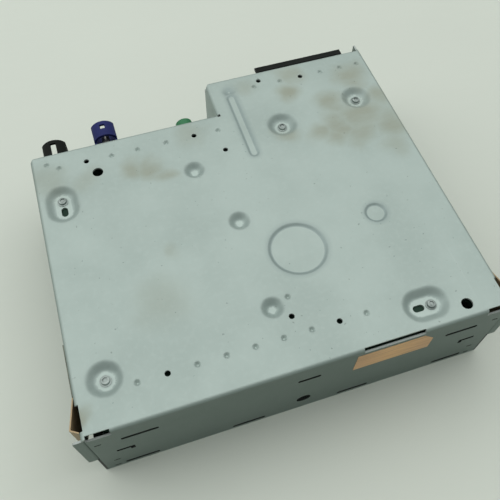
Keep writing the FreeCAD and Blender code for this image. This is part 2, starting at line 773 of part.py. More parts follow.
# Rear walls: sockets and the heat sink's pad pass through.
AERIALS = {"black": ref("collar_radius"), "blue": ref("collar_radius"), "green": ref("green_radius")}
BLOCK_LEFT = f"({from_left('blue_x')} + Dims.base_width / 2 + Dims.block_gap)"
AERIAL_X = {
    "black": from_left("black_x"),
    "blue": from_left("blue_x"),
    "green": f"({BLOCK_LEFT} + Dims.block_width + Dims.green_gap + Dims.base_width / 2)",
}
AERIAL_Z = f"({BOARD_UNDER} - Dims.aerial_drop)"
for name, radius in AERIALS.items():
    base = (AERIAL_X[name], f"{REAR_LEFT} - 2 * {GAUGE}", AERIAL_Z)
    tray_cuts.append(rod(f"{name}_wall_hole", base, f"{radius} + Dims.running_gap", THROUGH, "y"))
BLOCK_LOW = f"({BOARD_UNDER} - Dims.block_height)"
tray_cuts.append(block(
    "block_wall_opening", (f"{BLOCK_LEFT} - Dims.running_gap", f"{REAR_LEFT} - 2 * {GAUGE}",
                           f"{BLOCK_LOW} - Dims.running_gap"),
    ("Dims.block_width + 2 * Dims.running_gap", THROUGH, "Dims.block_height + 2 * Dims.running_gap")))
SINK_LEFT = f"({RIGHT} - Dims.sink_from_right - Dims.sink_width)"
SINK_TOP = f"({TOP} - Dims.sink_drop)"
SINK_LOW = f"({SINK_TOP} - Dims.sink_height)"
PAD_MARGIN = "(Dims.sink_screw_inset + Dims.screw_head_radius + Dims.pad_screw_gap)"
PAD_WIDTH = f"(Dims.sink_width - 2 * {PAD_MARGIN})"
PAD_LEFT = f"({SINK_LEFT} + {PAD_MARGIN})"
PAD_LOW = f"({TOP} - Dims.pad_drop - Dims.pad_height)"
tray_cuts.append(block(
    "pad_wall_opening", (f"{PAD_LEFT} - Dims.running_gap", f"{REAR_RIGHT} - 2 * {GAUGE}",
                         f"{PAD_LOW} - Dims.running_gap"),
    (f"{PAD_WIDTH} + 2 * Dims.running_gap", THROUGH, "Dims.pad_height + 2 * Dims.running_gap")))
SINK_SCREW_X = {
    "left": f"({SINK_LEFT} + Dims.sink_screw_inset)",
    "right": f"({SINK_LEFT} + Dims.sink_width - Dims.sink_screw_inset)",
}
SINK_SCREW_Z = f"({PAD_LOW} + Dims.pad_height / 2)"
for side, x in SINK_SCREW_X.items():
    tray_cuts.append(rod(f"sink_screw_hole_{side}", (x, f"{REAR_RIGHT} - 2 * {GAUGE}", SINK_SCREW_Z),
                         SCREW_HOLE, THROUGH, "y"))

# Lid screws pass through the side walls into the lid's flanges.
LID_SCREWS = [(side, end) for side in ("left", "right") for end in ("front", "rear")]
for side, end in LID_SCREWS:
    wall = f"{LEFT} - {GAUGE}" if side == "left" else f"{RIGHT} - 2 * {GAUGE}"
    tray_cuts.append(rod(f"lid_screw_hole_{side}_{end}", (wall, behind_front(f"lid_screw_{end}"),
                                                          ref("lid_screw_height")),
                         SCREW_HOLE, THROUGH, "x"))
rear_tab = block("rear_tab", (f"{RIGHT} - {GAUGE}", f"{REAR_RIGHT} - Dims.corner_radius",
                              f"{TOP} - Dims.bend_radius - Dims.rear_tab_height"),
                 (GAUGE, "Dims.rear_tab_reach + Dims.corner_radius", ref("rear_tab_height")))
tray_shell = carve("tray_shell", tray_outside, [tray_inside])
tray_blank = join("tray_blank", [tray_shell, rear_tab] + ears + pushed_sheet)
chassis_tray = carve("chassis_tray", tray_blank, hollows + tray_cuts)


# The flat lid: a plate under the case with three flanges inside the tray's walls

LID = ref("lid_gauge")
lid_body, lid_sketch = body_with_outline("lid_plate", "XY_Plane", "0", stepped_plan("0"))
pad(lid_body, lid_sketch, LID)
FLANGE_GAP = f"({GAUGE} + Dims.running_gap)"
lid_pieces = [lid_body]
lid_cuts = []
for side, x in (("left", f"{LEFT} + {FLANGE_GAP}"), ("right", f"{RIGHT} - {FLANGE_GAP} - {LID}")):
    lid_pieces.append(block(f"lid_flange_{side}", (x, behind_front("lid_flange_front"), "0"),
                            (LID, "Dims.lid_flange_rear - Dims.lid_flange_front",
                             ref("lid_flange_height"))))
lid_pieces.append(block("lid_flange_rear", (f"{STEP} + Dims.rear_flange_inset",
                                            f"{REAR_RIGHT} - {FLANGE_GAP} - {LID}", "0"),
                        (f"{RIGHT} - {STEP} - 2 * Dims.rear_flange_inset", LID, ref("lid_flange_height"))))
THREAD = "(Dims.screw_radius + Dims.thread_clearance)"
for side, end in LID_SCREWS:
    x = f"{LEFT} + {FLANGE_GAP} - {LID}" if side == "left" else f"{RIGHT} - {FLANGE_GAP} - 2 * {LID}"
    lid_cuts.append(rod(f"lid_thread_{side}_{end}", (x, behind_front(f"lid_screw_{end}"),
                                                     ref("lid_screw_height")),
                        THREAD, f"3 * {LID}", "x"))
VENT_COUNT = 9
for index in range(VENT_COUNT):
    corner = (f"{RIGHT} - Dims.vent_from_right - {index} * Dims.vent_pitch",
              f"{REAR_RIGHT} - Dims.vent_from_rear", f"-{LID}")
    lid_cuts.append(block(f"vent_{index}", corner, (ref("vent_width"), ref("vent_length"), f"3 * {LID}")))
bottom_lid = carve("bottom_lid", join("lid_blank", lid_pieces), lid_cuts)


# Screws, nuts and rivets

def socket_screw(label, seat, length, axis, head_radius, head_height, along=1):
    """A round-headed screw with a socket: its head stands on the seat, its shank goes the other way."""
    x, y, z = seat
    sign = "+" if along > 0 else "-"
    away = {"x": (1, 0, 0), "y": (0, 1, 0), "z": (0, 0, 1)}[axis]

    def step(distance):
        return tuple(f"{value} {sign} ({distance})" if on else value for value, on in zip((x, y, z), away))

    def low_end(start, end):
        return step(start) if along > 0 else step(end)

    head = rod(f"{label}_head", low_end("0", head_height), head_radius, head_height, axis)
    shank = rod(f"{label}_shank", low_end(f"-({length})", "0"), ref("screw_radius"), length, axis)
    recess = rod(f"{label}_recess", low_end(f"{head_height} - Dims.recess_depth", head_height),
                 ref("recess_radius"), ref("recess_depth"), axis)
    return carve(label, join(f"{label}_solid", [head, shank]), [recess])


HEAD = (ref("screw_head_radius"), ref("screw_head_height"))
board_screws = group("board_screws", [
    socket_screw(f"board_{name}", (*spot(name), DIMPLE_FLOOR), ref("board_screw_length"), "z", *HEAD)
    for name in BOARD_SCREWS])
HEXAGON_SIDES = 6
nuts = []
for name in BOARD_SCREWS:
    x, y = spot(name)
    hexagon = doc.addObject("Part::Prism", f"{name}_hexagon")
    hexagon.Polygon = HEXAGON_SIDES
    bind(hexagon, Circumradius="Dims.nut_across / 2 / cos(30)", Height=ref("nut_height"))
    place(hexagon, x, y, f"{BOARD_UNDER} - Dims.nut_height")
    bore = rod(f"{name}_thread", (x, y, f"{BOARD_UNDER} - 2 * Dims.nut_height"), THREAD,
               "3 * Dims.nut_height")
    nuts.append(carve(f"{name}_nut", hexagon, [bore]))
board_nuts = group("board_nuts", nuts)
lid_screws = group("lid_screws", [
    socket_screw(f"lid_screw_{side}_{end}",
                 (LEFT if side == "left" else RIGHT, behind_front(f"lid_screw_{end}"),
                  ref("lid_screw_height")),
                 ref("lid_screw_length"), "x", ref("screw_head_radius"), ref("lid_screw_head"),
                 -1 if side == "left" else 1)
    for side, end in LID_SCREWS])
sink_screws = group("sink_screws", [
    socket_screw(f"sink_screw_{side}", (x, f"{REAR_RIGHT} - {GAUGE}", SINK_SCREW_Z),
                 f"{GAUGE} + Dims.sink_screw_length / 2", "y", *HEAD, -1)
    for side, x in SINK_SCREW_X.items()])


# Main board

BOARD_INSET = "(Dims.tray_gauge + Dims.board_wall_gap)"
left, right = f"{LEFT} + {BOARD_INSET}", f"{RIGHT} - {BOARD_INSET}"
front, notch_end = f"{FRONT} + {BOARD_INSET}", f"{FRONT} + Dims.board_notch_length"
rear_left, rear_right = f"{REAR_LEFT} - {BOARD_INSET}", f"{REAR_RIGHT} - {BOARD_INSET} - Dims.pad_reach"
board_corners = [
    (f"{left} + Dims.board_notch", front), (f"{right} - Dims.board_notch", front),
    (f"{right} - Dims.board_notch", notch_end), (right, notch_end), (right, rear_right),
    (f"{STEP} + {BOARD_INSET}", rear_right), (f"{STEP} + {BOARD_INSET}", rear_left), (left, rear_left),
    (left, notch_end), (f"{left} + Dims.board_notch", notch_end),
]
board_body, board_sketch = body_with_outline("board_blank", "XY_Plane", BOARD_UNDER, board_corners)
pad(board_body, board_sketch, ref("board_thickness"))
board_cuts = []
for name in BOARD_SCREWS + ["plate_hole_rear", "plate_hole_front"]:
    x, y = spot(name)
    radius = SCREW_HOLE if name in BOARD_SCREWS else ref("board_hole_radius")
    board_cuts.append(rod(f"board_hole_{name}", (x, y, f"{BOARD_UNDER} - Dims.board_thickness"),
                          radius, "3 * Dims.board_thickness"))
main_board = carve("main_board", board_body, board_cuts)


def under_board(label, name, size_name):
    """A block that hangs from the board's component side."""
    width, depth, height = (ref(f"{size_name}_{part}") for part in ("width", "depth", "height"))
    return centred_block(label, spot(name), f"{BOARD_UNDER} - {height}", (width, depth, height))


def can_on_board(label, name, radius, height):
    """A round can whose sleeve is drawn in below its crimped top."""
    x, y = spot(name)
    body = rod(f"{label}_can", (x, y, f"{BOARD_UNDER} - {height}"), radius, height)
    ring = rod(f"{label}_ring", (x, y, f"{BOARD_UNDER} - Dims.can_groove_height - Dims.can_groove_width"),
               f"{radius} + Dims.running_gap", ref("can_groove_width"))
    core = rod(f"{label}_core", (x, y, f"{BOARD_UNDER} - Dims.can_groove_height - Dims.can_groove_width"),
               f"{radius} - Dims.can_groove_depth", ref("can_groove_width"))
    return carve(label, body, [carve(f"{label}_groove", ring, [core])])


tuner_can = under_board("tuner_can", "tuner", "tuner")
receiver_can = under_board("receiver_can", "receiver", "receiver")
processor_chip = under_board("processor_chip", "processor", "processor")
signal_chip = under_board("signal_chip", "signal_chip", "signal_chip")
converter_chip = under_board("converter_chip", "converter_chip", "converter_chip")
memory_chips = group("memory_chips", [under_board(f"{name}_body", name,
                                                  "memory") for name in ("memory_front", "memory_rear")])
crystal = under_board("crystal_unit", "crystal", "crystal")
power_inductor = under_board("power_inductor", "inductor", "inductor")
big_capacitors = group("big_capacitors", [
    can_on_board(f"{name}_sleeve", name, ref("big_capacitor_radius"), ref("big_capacitor_height"))
    for name in ("big_capacitor_a", "big_capacitor_b")])
small_capacitors = group("small_capacitors", [
    can_on_board(f"{name}_sleeve", name, ref("small_capacitor_radius"), ref("small_capacitor_height"))
    for name in ("small_capacitor_a", "small_capacitor_b", "small_capacitor_c")])
shield_outside = centred_block("shield_outside", spot("processor"), f"{BOARD_UNDER} - Dims.shield_height",
                               (ref("shield_width"), ref("shield_depth"), ref("shield_height")))
shield_inside = centred_block(
    "shield_inside", spot("processor"), f"{BOARD_UNDER} - Dims.shield_height + Dims.shield_gauge",
    ("Dims.shield_width - 2 * Dims.shield_gauge", "Dims.shield_depth - 2 * Dims.shield_gauge",
     ref("shield_height")))
processor_shield = carve("processor_shield", shield_outside, [shield_inside])


# Heat sink, the two power chips and their clamp

sink_outline = [
    (f"{REAR_RIGHT}", SINK_LOW), (f"{REAR_RIGHT} + Dims.sink_base", SINK_LOW),
    (f"{REAR_RIGHT} + Dims.sink_base", SINK_TOP), (f"{REAR_RIGHT}", SINK_TOP),
]
sink_body, sink_sketch = body_with_outline("sink_base_plate", "YZ_Plane", SINK_LEFT, sink_outline)
pad(sink_body, sink_sketch, ref("sink_width"))
sink_fin = sink_body.newObject("Sketcher::SketchObject", "fin_outline")
sink_fin.AttachmentSupport = (origin_plane(sink_body, "YZ_Plane"), [""])
sink_fin.MapMode = "FlatFace"
sink_fin.setExpression("AttachmentOffset.Base.z", SINK_LEFT)
FIN_ROOT = f"{REAR_RIGHT} + Dims.sink_base - Dims.corner_radius"
draw_outline(sink_fin, [
    (FIN_ROOT, SINK_LOW), (f"{REAR_RIGHT} + Dims.sink_reach", SINK_LOW),
    (f"{REAR_RIGHT} + Dims.sink_reach", f"{SINK_LOW} + Dims.fin_thickness"),
    (FIN_ROOT, f"{SINK_LOW} + Dims.fin_thickness"),
])
fin_pad = pad(sink_body, sink_fin, ref("sink_width"))
doc.recompute()
fins = sink_body.newObject("PartDesign::LinearPattern", "fin_row")
fins.Originals = [fin_pad]
fins.Direction = (origin_plane(sink_body, "XY_Plane"), [""])
fins.setExpression("Length", "Dims.sink_height - Dims.fin_thickness")
fins.setExpression("Occurrences", ref("fin_count"))
sink_body.Tip = fins
chip_pad = block("chip_pad", (PAD_LEFT, f"{REAR_RIGHT} - Dims.pad_reach", PAD_LOW),
                 (PAD_WIDTH, "Dims.pad_reach + Dims.sink_base / 2", ref("pad_height")))
SINK_THREAD_DEPTH = "(Dims.sink_screw_length / 2 + Dims.running_gap)"
CLAMP_X = f"({PAD_LEFT} + ({PAD_WIDTH} + Dims.amp_width - Dims.regulator_width) / 2)"
CHIP_FACE = f"({REAR_RIGHT} - Dims.pad_reach)"
CHIP_LOW = f"({PAD_LOW} + (Dims.pad_height - Dims.amp_height) / 2 - Dims.running_gap)"
CLAMP_Z = f"({CHIP_LOW} + Dims.amp_height / 2)"
sink_cuts = [rod(f"sink_thread_{side}", (x, f"{REAR_RIGHT} - {GAUGE}", SINK_SCREW_Z), THREAD,
                 f"{GAUGE} + {SINK_THREAD_DEPTH}", "y") for side, x in SINK_SCREW_X.items()]
sink_cuts.append(rod("clamp_thread", (CLAMP_X, f"{CHIP_FACE} - {GAUGE}", CLAMP_Z), THREAD,
                     f"{GAUGE} + Dims.pad_reach + Dims.sink_base / 2 + Dims.running_gap", "y"))
heat_sink = carve("heat_sink", join("sink_blank", [sink_body, chip_pad]), sink_cuts)


def power_chip(label, left_edge, width, lead_count):
    """A moulded chip that stands against the pad, with leads up to the board."""
    body = block(f"{label}_body", (left_edge, f"{CHIP_FACE} - Dims.amp_thickness", CHIP_LOW),
                 (width, ref("amp_thickness"), ref("amp_height")))
    lead_row = f"({width} - ({lead_count} - 1) * Dims.chip_lead_pitch) / 2"
    leads = []
    for index in range(lead_count):
        x = f"{left_edge} + {lead_row} + {index} * Dims.chip_lead_pitch - Dims.chip_lead_width / 2"
        leads.append(block(f"{label}_lead_{index}",
                           (x, f"{CHIP_FACE} - Dims.amp_thickness / 2",
                            f"{CHIP_LOW} + Dims.amp_height - Dims.chip_lead_width"),
                           (ref("chip_lead_width"), ref("chip_lead_width"),
                            f"{BOARD_UNDER} - {CHIP_LOW} - Dims.amp_height + Dims.chip_lead_width")))
    return join(label, [body] + leads)


AMP_LEAD_COUNT = 11
REGULATOR_LEAD_COUNT = 4
amplifier_chip = power_chip("amplifier_chip", PAD_LEFT, ref("amp_width"), AMP_LEAD_COUNT)
regulator_chip = power_chip("regulator_chip", f"({PAD_LEFT} + {PAD_WIDTH} - Dims.regulator_width)",
                            ref("regulator_width"), REGULATOR_LEAD_COUNT)
CLAMP_FACE = f"({CHIP_FACE} - Dims.amp_thickness - Dims.clamp_thickness)"
clamp_bar = block("clamp_bar", (f"{PAD_LEFT} + Dims.clamp_inset", CLAMP_FACE,
                                f"{CLAMP_Z} - Dims.clamp_height / 2"),
                  (f"{PAD_WIDTH} - 2 * Dims.clamp_inset", ref("clamp_thickness"), ref("clamp_height")))
chip_clamp = carve("chip_clamp", clamp_bar, [
    rod("clamp_hole", (CLAMP_X, f"{CLAMP_FACE} - Dims.clamp_thickness", CLAMP_Z), SCREW_HOLE,
        "3 * Dims.clamp_thickness", "y")])
CLAMP_SCREW_LENGTH = "Dims.clamp_thickness + Dims.amp_thickness + Dims.pad_reach + Dims.sink_base / 2"
clamp_screw = socket_screw("clamp_screw", (CLAMP_X, CLAMP_FACE, CLAMP_Z),
                           CLAMP_SCREW_LENGTH, "y", *HEAD, -1)


# Aerial sockets: a metal base on the board, a coded plastic collar, a barrel and a centre pin

BASE_FACE = f"({REAR_LEFT} - {GAUGE} - Dims.running_gap)"
bases, barrels, aerial_pins = [], [], []
for name, x in AERIAL_X.items():
    tip = f"({REAR_LEFT} + Dims.{name}_reach - Dims.barrel_setback)"
    base_low = f"({AERIAL_Z} - Dims.collar_radius)"
    bases.append(block(f"{name}_base", (f"{x} - Dims.base_width / 2",
                                        f"{BASE_FACE} - Dims.aerial_base_length", base_low),
                       (ref("base_width"), ref("aerial_base_length"), f"{BOARD_UNDER} - {base_low}")))
    tube = rod(f"{name}_tube", (x, BASE_FACE, AERIAL_Z), ref("barrel_radius"), f"{tip} - {BASE_FACE}", "y")
    bore = rod(f"{name}_tube_bore", (x, BASE_FACE, AERIAL_Z), ref("barrel_bore"),
               f"{tip} - {BASE_FACE} + {GAUGE}", "y")
    barrels.append(carve(f"{name}_barrel", tube, [bore]))
    aerial_pins.append(rod(f"{name}_pin", (x, BASE_FACE, AERIAL_Z), ref("aerial_pin_radius"),
                           f"{tip} - {BASE_FACE} - {GAUGE}", "y"))
aerial_bases = group("aerial_bases", bases)
aerial_barrels = group("aerial_barrels", barrels)
aerial_centre_pins = group("aerial_centre_pins", aerial_pins)


def arched_bar(label, x, start, radius, width, length):
    """A round bar along Y with flat sides."""
    bar = rod(f"{label}_round", (x, start, AERIAL_Z), radius, length, "y")
    slab = block(f"{label}_slab", (f"{x} - {width} / 2", start, f"{AERIAL_Z} - {radius}"),
                 (width, length, f"2 * {radius}"))
    return overlap(label, bar, slab)


def collar(name, radius, width, cuts):
    """A tube with flat sides that stands on the base and passes out through the rear wall."""
    x = AERIAL_X[name]
    length = f"(Dims.{name}_reach + {GAUGE} + Dims.running_gap)"
    outside = arched_bar(f"{name}_outside", x, BASE_FACE, radius, width, length)
    inside = arched_bar(f"{name}_inside", x, f"{BASE_FACE} - {GAUGE}", f"({radius} - Dims.collar_wall)",
                        f"({width} - 2 * Dims.collar_wall)", f"({length} + 2 * {GAUGE})")
    return carve(f"{name}_aerial_collar", outside, [inside] + cuts)


black_slot = block("black_slot", (f"{AERIAL_X['black']} - Dims.slot_width / 2", REAR_LEFT, AERIAL_Z),
                   (ref("slot_width"), "Dims.black_reach - Dims.slot_rim", "2 * Dims.collar_radius"))
WINDOW_START = f"({REAR_LEFT} + Dims.blue_reach - Dims.window_from_rim - Dims.window_side / 2)"
blue_window = block("blue_window", (f"{AERIAL_X['blue']} - Dims.window_side / 2", WINDOW_START, AERIAL_Z),
                    (ref("window_side"), ref("window_side"), "2 * Dims.collar_radius"))
blue_notch = block("blue_notch", (f"{AERIAL_X['blue']} - Dims.collar_radius", REAR_LEFT,
                                  f"{AERIAL_Z} + Dims.slot_rim"),
                   ("2 * Dims.collar_radius", ref("notch_length"), "2 * Dims.collar_radius"))
black_collar = collar("black", ref("collar_radius"), ref("collar_width"), [black_slot])
blue_collar = collar("blue", ref("collar_radius"), ref("collar_width"), [blue_window, blue_notch])
green_collar = collar("green", ref("green_radius"), ref("green_width"), [])


# Main socket block: a plug bay with contacts above a fuse bay

BLOCK_REAR = f"({REAR_LEFT} + Dims.block_reach)"
BLOCK_FRONT = f"({BLOCK_REAR} - Dims.block_depth)"
block_solid = block("block_solid", (BLOCK_LEFT, BLOCK_FRONT, BLOCK_LOW),
                    (ref("block_width"), ref("block_depth"), ref("block_height")))
PLUG_LOW = f"({BOARD_UNDER} - Dims.block_wall - Dims.plug_bay_height)"
BAY_FLOOR = f"({BLOCK_REAR} - Dims.plug_bay_depth)"
FUSE_FLOOR = f"({BLOCK_REAR} - Dims.fuse_bay_depth)"
FUSE_LOW = f"({BLOCK_LOW} + Dims.fuse_bay_low)"
plug_bay = block("plug_bay", (f"{BLOCK_LEFT} + Dims.block_wall", BAY_FLOOR, PLUG_LOW),
                 ("Dims.block_width - 2 * Dims.block_wall", "Dims.plug_bay_depth + Dims.block_wall",
                  ref("plug_bay_height")))
FUSE_BAY_LEFT = f"({BLOCK_LEFT} + (Dims.block_width - Dims.fuse_bay_width) / 2)"
fuse_bay = block("fuse_bay", (FUSE_BAY_LEFT, FUSE_FLOOR, FUSE_LOW),
                 (ref("fuse_bay_width"), "Dims.fuse_bay_depth + Dims.block_wall", ref("fuse_bay_height")))
keyway = block("keyway", (f"{BLOCK_LEFT} + (Dims.block_width - Dims.key_width) / 2", BAY_FLOOR,
                          f"{PLUG_LOW} - Dims.key_depth"),
               (ref("key_width"), "Dims.plug_bay_depth + Dims.block_wall", "Dims.key_depth * 2"))
socket_block = carve("socket_block", block_solid, [plug_bay, fuse_bay, keyway])
CONTACT_COLUMNS, CONTACT_ROWS = 4, 4
contacts = []
for column in range(CONTACT_COLUMNS):
    for row in range(CONTACT_ROWS):
        across = f"({column} - {CONTACT_COLUMNS - 1} / 2) * Dims.contact_pitch_x"
        up = f"({row} - {CONTACT_ROWS - 1} / 2) * Dims.contact_pitch_z"
        x = f"{BLOCK_LEFT} + Dims.block_width / 2 + {across} - Dims.contact_side / 2"
        z = f"{PLUG_LOW} + Dims.plug_bay_height / 2 + {up} - Dims.contact_side / 2"
        contacts.append(block(f"contact_{column}_{row}", (x, BAY_FLOOR, z),
                              (ref("contact_side"), ref("contact_length"), ref("contact_side"))))
socket_contacts = group("socket_contacts", contacts)
FUSE_X = f"({BLOCK_LEFT} + Dims.block_width / 2)"
FUSE_Z = f"({FUSE_LOW} + Dims.fuse_bay_height / 2)"
BLADE_START = f"({FUSE_FLOOR} + Dims.running_gap)"
FUSE_BODY_START = f"({BLADE_START} + Dims.fuse_blade_length)"
fuse_body = block("fuse_body", (f"{FUSE_X} - Dims.fuse_width / 2", FUSE_BODY_START,
                                f"{FUSE_Z} - Dims.fuse_thickness / 2"),
                  (ref("fuse_width"), ref("fuse_body_length"), ref("fuse_thickness")))
blades, clips = [], []
for side, x in (("left", f"{FUSE_X} - Dims.fuse_width / 2 + Dims.blade_inset"),
                ("right", f"{FUSE_X} + Dims.fuse_width / 2 - Dims.blade_inset - Dims.fuse_blade_width")):
    blades.append(block(f"fuse_blade_{side}", (x, BLADE_START, f"{FUSE_Z} - Dims.fuse_blade_gauge / 2"),
                        (ref("fuse_blade_width"), "Dims.fuse_blade_length + Dims.block_wall",
                         ref("fuse_blade_gauge"))))
    jaw = block(f"clip_jaw_{side}", (x, FUSE_FLOOR,
                                     f"{FUSE_Z} - Dims.fuse_blade_gauge / 2 - Dims.clip_gap - Dims.clip_arm"),
                (ref("fuse_blade_width"), ref("clip_length"),
                 "Dims.fuse_blade_gauge + 2 * Dims.clip_gap + 2 * Dims.clip_arm"))
    mouth = block(f"clip_mouth_{side}", (f"{x} - Dims.clip_arm",
                                         f"{FUSE_FLOOR} + Dims.running_gap - Dims.clip_gap",
                                         f"{FUSE_Z} - Dims.fuse_blade_gauge / 2 - Dims.clip_gap"),
                  ("Dims.fuse_blade_width + 2 * Dims.clip_arm", "Dims.clip_length + Dims.clip_arm",
                   "Dims.fuse_blade_gauge + 2 * Dims.clip_gap"))
    clips.append(carve(f"fuse_clip_{side}", jaw, [mouth]))
blade_fuse = join("blade_fuse", [fuse_body] + blades)
fuse_clips = group("fuse_clips", clips)


# Retention springs at the front corners, each with a riveted anchor behind it

CREST_X, CREST_Y = 1.15, 0.46
LIP_X, LIP_Y = 0.53, 0.85
rivets = []


def leaf(side):
    """The sprung leaf: out from its root, round the crest and back in to the lip."""
    sign, wall = ("-", LEFT) if side == "left" else ("+", RIGHT)
    inward = "+" if side == "left" else "-"

    def out(distance):
        return f"{wall} {sign} ({distance})"

    gauge = ref("spring_gauge")
    crest = (out("Dims.spring_flare"), behind_front("spring_crest"))
    lip = (out("Dims.spring_lip_out"), behind_front("spring_lip"))
    corners = [
        (out(gauge), behind_front("spring_root")), crest, lip,
        (f"{lip[0]} {inward} {LIP_X} * {gauge}", f"{lip[1]} + {LIP_Y} * {gauge}"),
        (f"{crest[0]} {inward} {CREST_X} * {gauge}", f"{crest[1]} + {CREST_Y} * {gauge}"),
        (wall, behind_front("spring_root")),
    ]
    body, sketch = body_with_outline(f"{side}_retention_spring", "XY_Plane", SPRING_LOW, corners)
    pad(body, sketch, ref("spring_height"))
    return body


for side in ("left", "right"):
    leaf(side)
    outer = f"{LEFT} - Dims.spring_gauge" if side == "left" else RIGHT
    plate = block(f"{side}_anchor_plate", (outer, ANCHOR_START, SPRING_LOW),
                  (ref("spring_gauge"), ref("anchor_length"), ref("spring_height")))
    holes = []
    for index, z in enumerate(RIVET_LEVELS):
        y = RIVET_Y
        low_x = f"{outer} - Dims.spring_gauge"
        holes.append(rod(f"{side}_rivet_hole_{index}", (low_x, y, z), RIVET_HOLE, "3 * Dims.spring_gauge",
                         "x"))
        head_x = f"{outer} - Dims.rivet_head" if side == "left" else f"{outer} + Dims.spring_gauge"
        shank_x = f"{LEFT} - Dims.spring_gauge" if side == "left" else f"{RIGHT} - {GAUGE}"
        tail_x = f"{LEFT} + {GAUGE}" if side == "left" else f"{RIGHT} - {GAUGE} - Dims.rivet_tail"
        rivets.append(join(f"{side}_rivet_{index}", [
            rod(f"{side}_rivet_head_{index}", (head_x, y, z), ref("rivet_head_radius"), ref("rivet_head"),
                "x"),
            rod(f"{side}_rivet_shank_{index}", (shank_x, y, z), ref("rivet_radius"),
                f"Dims.spring_gauge + {GAUGE}", "x"),
            rod(f"{side}_rivet_tail_{index}", (tail_x, y, z), ref("rivet_head_radius"), ref("rivet_tail"),
                "x"),
        ]))
    carve(f"{side}_spring_anchor", plate, holes)
spring_rivets = group("spring_rivets", rivets)


# Front wall: a bare adhesive label with one corner cut off

label_left = from_right("label_from_right")
label_right = f"({label_left} + Dims.label_width)"
label_top = f"{TOP} - Dims.label_drop"
label_low = f"{label_top} - Dims.label_height"
label_corners = [
    (label_left, label_low), (label_right, label_low), (label_right, f"{label_top} - Dims.label_cut_down"),
    (f"{label_right} - Dims.label_cut_across", label_top), (label_left, label_top),
]
label_body, label_sketch = body_with_outline("front_label", "XZ_Plane", f"-({FRONT})", label_corners)
pad(label_body, label_sketch, ref("label_gauge"))


# Flat cable socket on the board's upper side, with its lock slider in front

HEADER_X, HEADER_Y = spot("header")
HEADER_FACE = f"({HEADER_Y} - Dims.header_depth / 2)"
header_solid = centred_block("header_solid", (HEADER_X, HEADER_Y), BOARD_TOP,
                             (ref("header_width"), ref("header_depth"), ref("header_height")))
header_mouth = block("header_mouth", (f"{HEADER_X} - Dims.header_width / 2 + Dims.mouth_inset",
                                      f"{HEADER_FACE} - Dims.mouth_inset",
                                      f"{BOARD_TOP} + Dims.mouth_lift"),
                     ("Dims.header_width - 2 * Dims.mouth_inset", "Dims.mouth_depth + Dims.mouth_inset",
                      ref("mouth_height")))
cable_header = carve("cable_header", header_solid, [header_mouth])
lock_bar = block("lock_bar", (f"{HEADER_X} - Dims.header_width / 2 - Dims.lock_overhang",
                              f"{HEADER_FACE} - Dims.lock_depth", f"{BOARD_TOP} + Dims.lock_lift"),
                 ("Dims.header_width + 2 * Dims.lock_overhang", "Dims.lock_depth - Dims.thread_clearance",
                  "Dims.mouth_height + Dims.lock_lift"))
tongue = block("lock_tongue", (f"{HEADER_X} - Dims.header_width / 2 + 2 * Dims.mouth_inset",
                               f"{HEADER_FACE} - Dims.lock_depth",
                               f"{BOARD_TOP} + Dims.mouth_lift + Dims.running_gap"),
               ("Dims.header_width - 4 * Dims.mouth_inset", "Dims.lock_depth + Dims.tongue_depth",
                ref("tongue_gauge")))
cable_lock = join("cable_lock", [lock_bar, tongue])

NODES = [
    "chassis_tray", "bottom_lid", "front_label", "board_screws", "board_nuts", "lid_screws",
    "left_retention_spring", "right_retention_spring", "left_spring_anchor", "right_spring_anchor",
    "spring_rivets",
    "main_board", "tuner_can", "receiver_can", "processor_chip", "processor_shield", "signal_chip",
    "converter_chip", "memory_chips", "crystal_unit", "power_inductor", "big_capacitors",
    "small_capacitors",
    "heat_sink", "sink_screws", "amplifier_chip", "regulator_chip", "chip_clamp", "clamp_screw",
    "aerial_bases", "aerial_barrels", "aerial_centre_pins",
    "black_aerial_collar", "blue_aerial_collar", "green_aerial_collar",
    "socket_block", "socket_contacts", "blade_fuse", "fuse_clips", "cable_header", "cable_lock",
]

doc.recompute()
failed = [item.Label for item in doc.Objects if {"Invalid", "Error"} & set(item.State)]
if failed:
    raise RuntimeError(f"these objects did not build: {failed}")
pieces = {name: doc.getObject(name) for name in NODES}
for name, piece in pieces.items():
    shape = piece.Shape
    if shape.isNull() or not shape.isValid() or not shape.Solids:
        raise RuntimeError(f"{name} has no sound solid")
os.makedirs("parts", exist_ok=True)
for name, piece in pieces.items():
    piece.Shape.exportStep(f"parts/{name}.step")
    box = piece.Shape.BoundBox
    print(f"{name}: {len(piece.Shape.Solids)} solids, {piece.Shape.Volume:.1f} mm3, "
          f"x {box.XMin:.1f}..{box.XMax:.1f} y {box.YMin:.1f}..{box.YMax:.1f} "
          f"z {box.ZMin:.1f}..{box.ZMax:.1f}")
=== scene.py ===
import math
import bmesh
import bpy
from mathutils import Matrix, Vector
from mathutils.geometry import delaunay_2d_cdt


